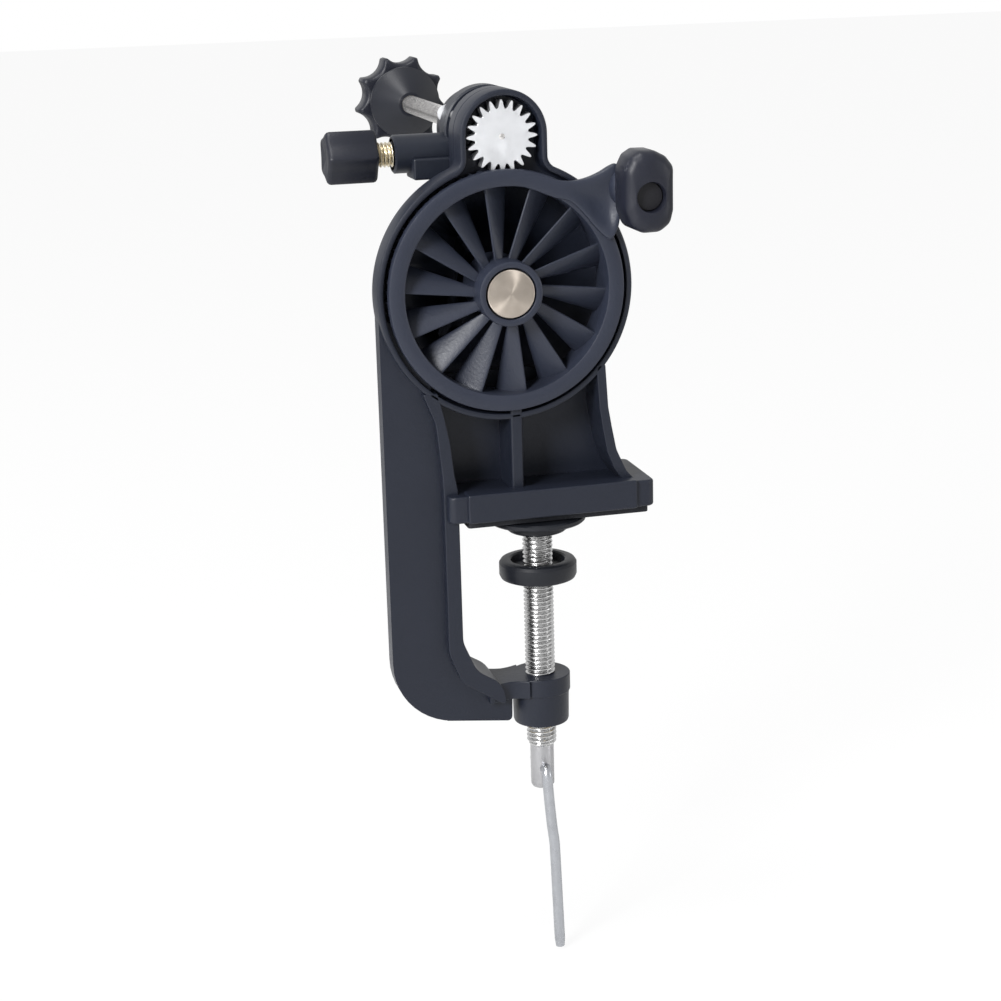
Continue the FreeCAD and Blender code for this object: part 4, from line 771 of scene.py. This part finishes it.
# Camera: fitted to the straight edges and circles of the object.
right = np.array([0.9669, -0.2537, -0.0266])
view_line = np.array([0.2378, 0.9344, -0.2652])
view_line /= np.linalg.norm(view_line)
right -= view_line * (right @ view_line)
right /= np.linalg.norm(right)
up = np.cross(right, view_line)
lens = bpy.data.cameras.new("camera")
lens.lens = 76.03
lens.sensor_width = 36.0
camera = bpy.data.objects.new("camera", lens)
camera.matrix_world = Matrix(((right[0], up[0], -view_line[0], -0.1771),
                              (right[1], up[1], -view_line[1], -0.6480),
                              (right[2], up[2], -view_line[2], 0.1892), (0, 0, 0, 1)))
bpy.context.scene.collection.objects.link(camera)
bpy.context.scene.camera = camera

# Studio: pale floor under the hanging bar, white surroundings and soft lamps from the upper left.
floor_mesh = bpy.data.meshes.new("floor")
floor_corners = [(-6, -6, -0.156), (6, -6, -0.156), (6, 6, -0.156), (-6, 6, -0.156)]
floor_mesh.from_pydata(floor_corners, [], [(0, 1, 2, 3)])
floor = bpy.data.objects.new("floor", floor_mesh)
bpy.context.scene.collection.objects.link(floor)
floor_paint = bpy.data.materials.new("floor paint")
floor_paint.use_nodes = True
nodes, links = floor_paint.node_tree.nodes, floor_paint.node_tree.links
nodes["Principled BSDF"].inputs["Base Color"].default_value = (0.9, 0.9, 0.9, 1)
nodes["Principled BSDF"].inputs["Roughness"].default_value = 0.9
glow = nodes.new("ShaderNodeEmission")
glow.inputs["Strength"].default_value = 1.0
path = nodes.new("ShaderNodeLightPath")
blend = nodes.new("ShaderNodeMixShader")
seen = nodes.new("ShaderNodeMath")
seen.operation = "MULTIPLY"
seen.inputs[1].default_value = 0.93
links.new(path.outputs["Is Camera Ray"], seen.inputs[0])
links.new(seen.outputs[0], blend.inputs[0])
links.new(nodes["Principled BSDF"].outputs[0], blend.inputs[1])
links.new(glow.outputs[0], blend.inputs[2])
links.new(blend.outputs[0], nodes["Material Output"].inputs["Surface"])
floor_mesh.materials.append(floor_paint)
world = bpy.data.worlds.new("studio")
bpy.context.scene.world = world
world.use_nodes = True
nodes, links = world.node_tree.nodes, world.node_tree.links
base = nodes["Background"]
base.inputs["Color"].default_value = (1, 1, 1, 1)
base.inputs["Strength"].default_value = 0.22
bright = nodes.new("ShaderNodeBackground")
bright.inputs["Color"].default_value = (1, 1, 1, 1)
bright.inputs["Strength"].default_value = 1.0
path = nodes.new("ShaderNodeLightPath")
blend = nodes.new("ShaderNodeMixShader")
glossy = nodes.new("ShaderNodeMath")
glossy.operation = "MAXIMUM"
either = nodes.new("ShaderNodeMath")
either.operation = "MAXIMUM"
links.new(path.outputs["Is Glossy Ray"], glossy.inputs[0])
links.new(path.outputs["Is Transmission Ray"], glossy.inputs[1])
links.new(path.outputs["Is Camera Ray"], either.inputs[0])
links.new(glossy.outputs[0], either.inputs[1])
links.new(either.outputs[0], blend.inputs[0])
links.new(base.outputs[0], blend.inputs[1])
links.new(bright.outputs[0], blend.inputs[2])
links.new(blend.outputs[0], nodes["World Output"].inputs["Surface"])


def soft_lamp(name, place, target, size, power):
    """Square soft box at a place, turned to the target, sizes in metres."""
    lamp = bpy.data.lights.new(name, "AREA")
    lamp.shape = "SQUARE"
    lamp.size = size
    lamp.energy = power
    holder = bpy.data.objects.new(name, lamp)
    away = np.asarray(place, float) - np.asarray(target, float)
    away /= np.linalg.norm(away)
    side = np.cross((0, 0, 1), away)
    side /= np.linalg.norm(side)
    top = np.cross(away, side)
    holder.matrix_world = Matrix([[side[i], top[i], away[i], place[i]] for i in range(3)] + [[0, 0, 0, 1]])
    bpy.context.scene.collection.objects.link(holder)


soft_lamp("key", (-1.15, -1.05, 0.75), (0, 0, 0.03), 0.5, 46)
soft_lamp("fill", (1.4, -0.9, 0.1), (0, 0, 0.03), 0.4, 4)
soft_lamp("top", (-0.5, -0.2, 1.5), (0, 0, 0.03), 0.5, 16)

bpy.context.scene.view_settings.view_transform = "Standard"
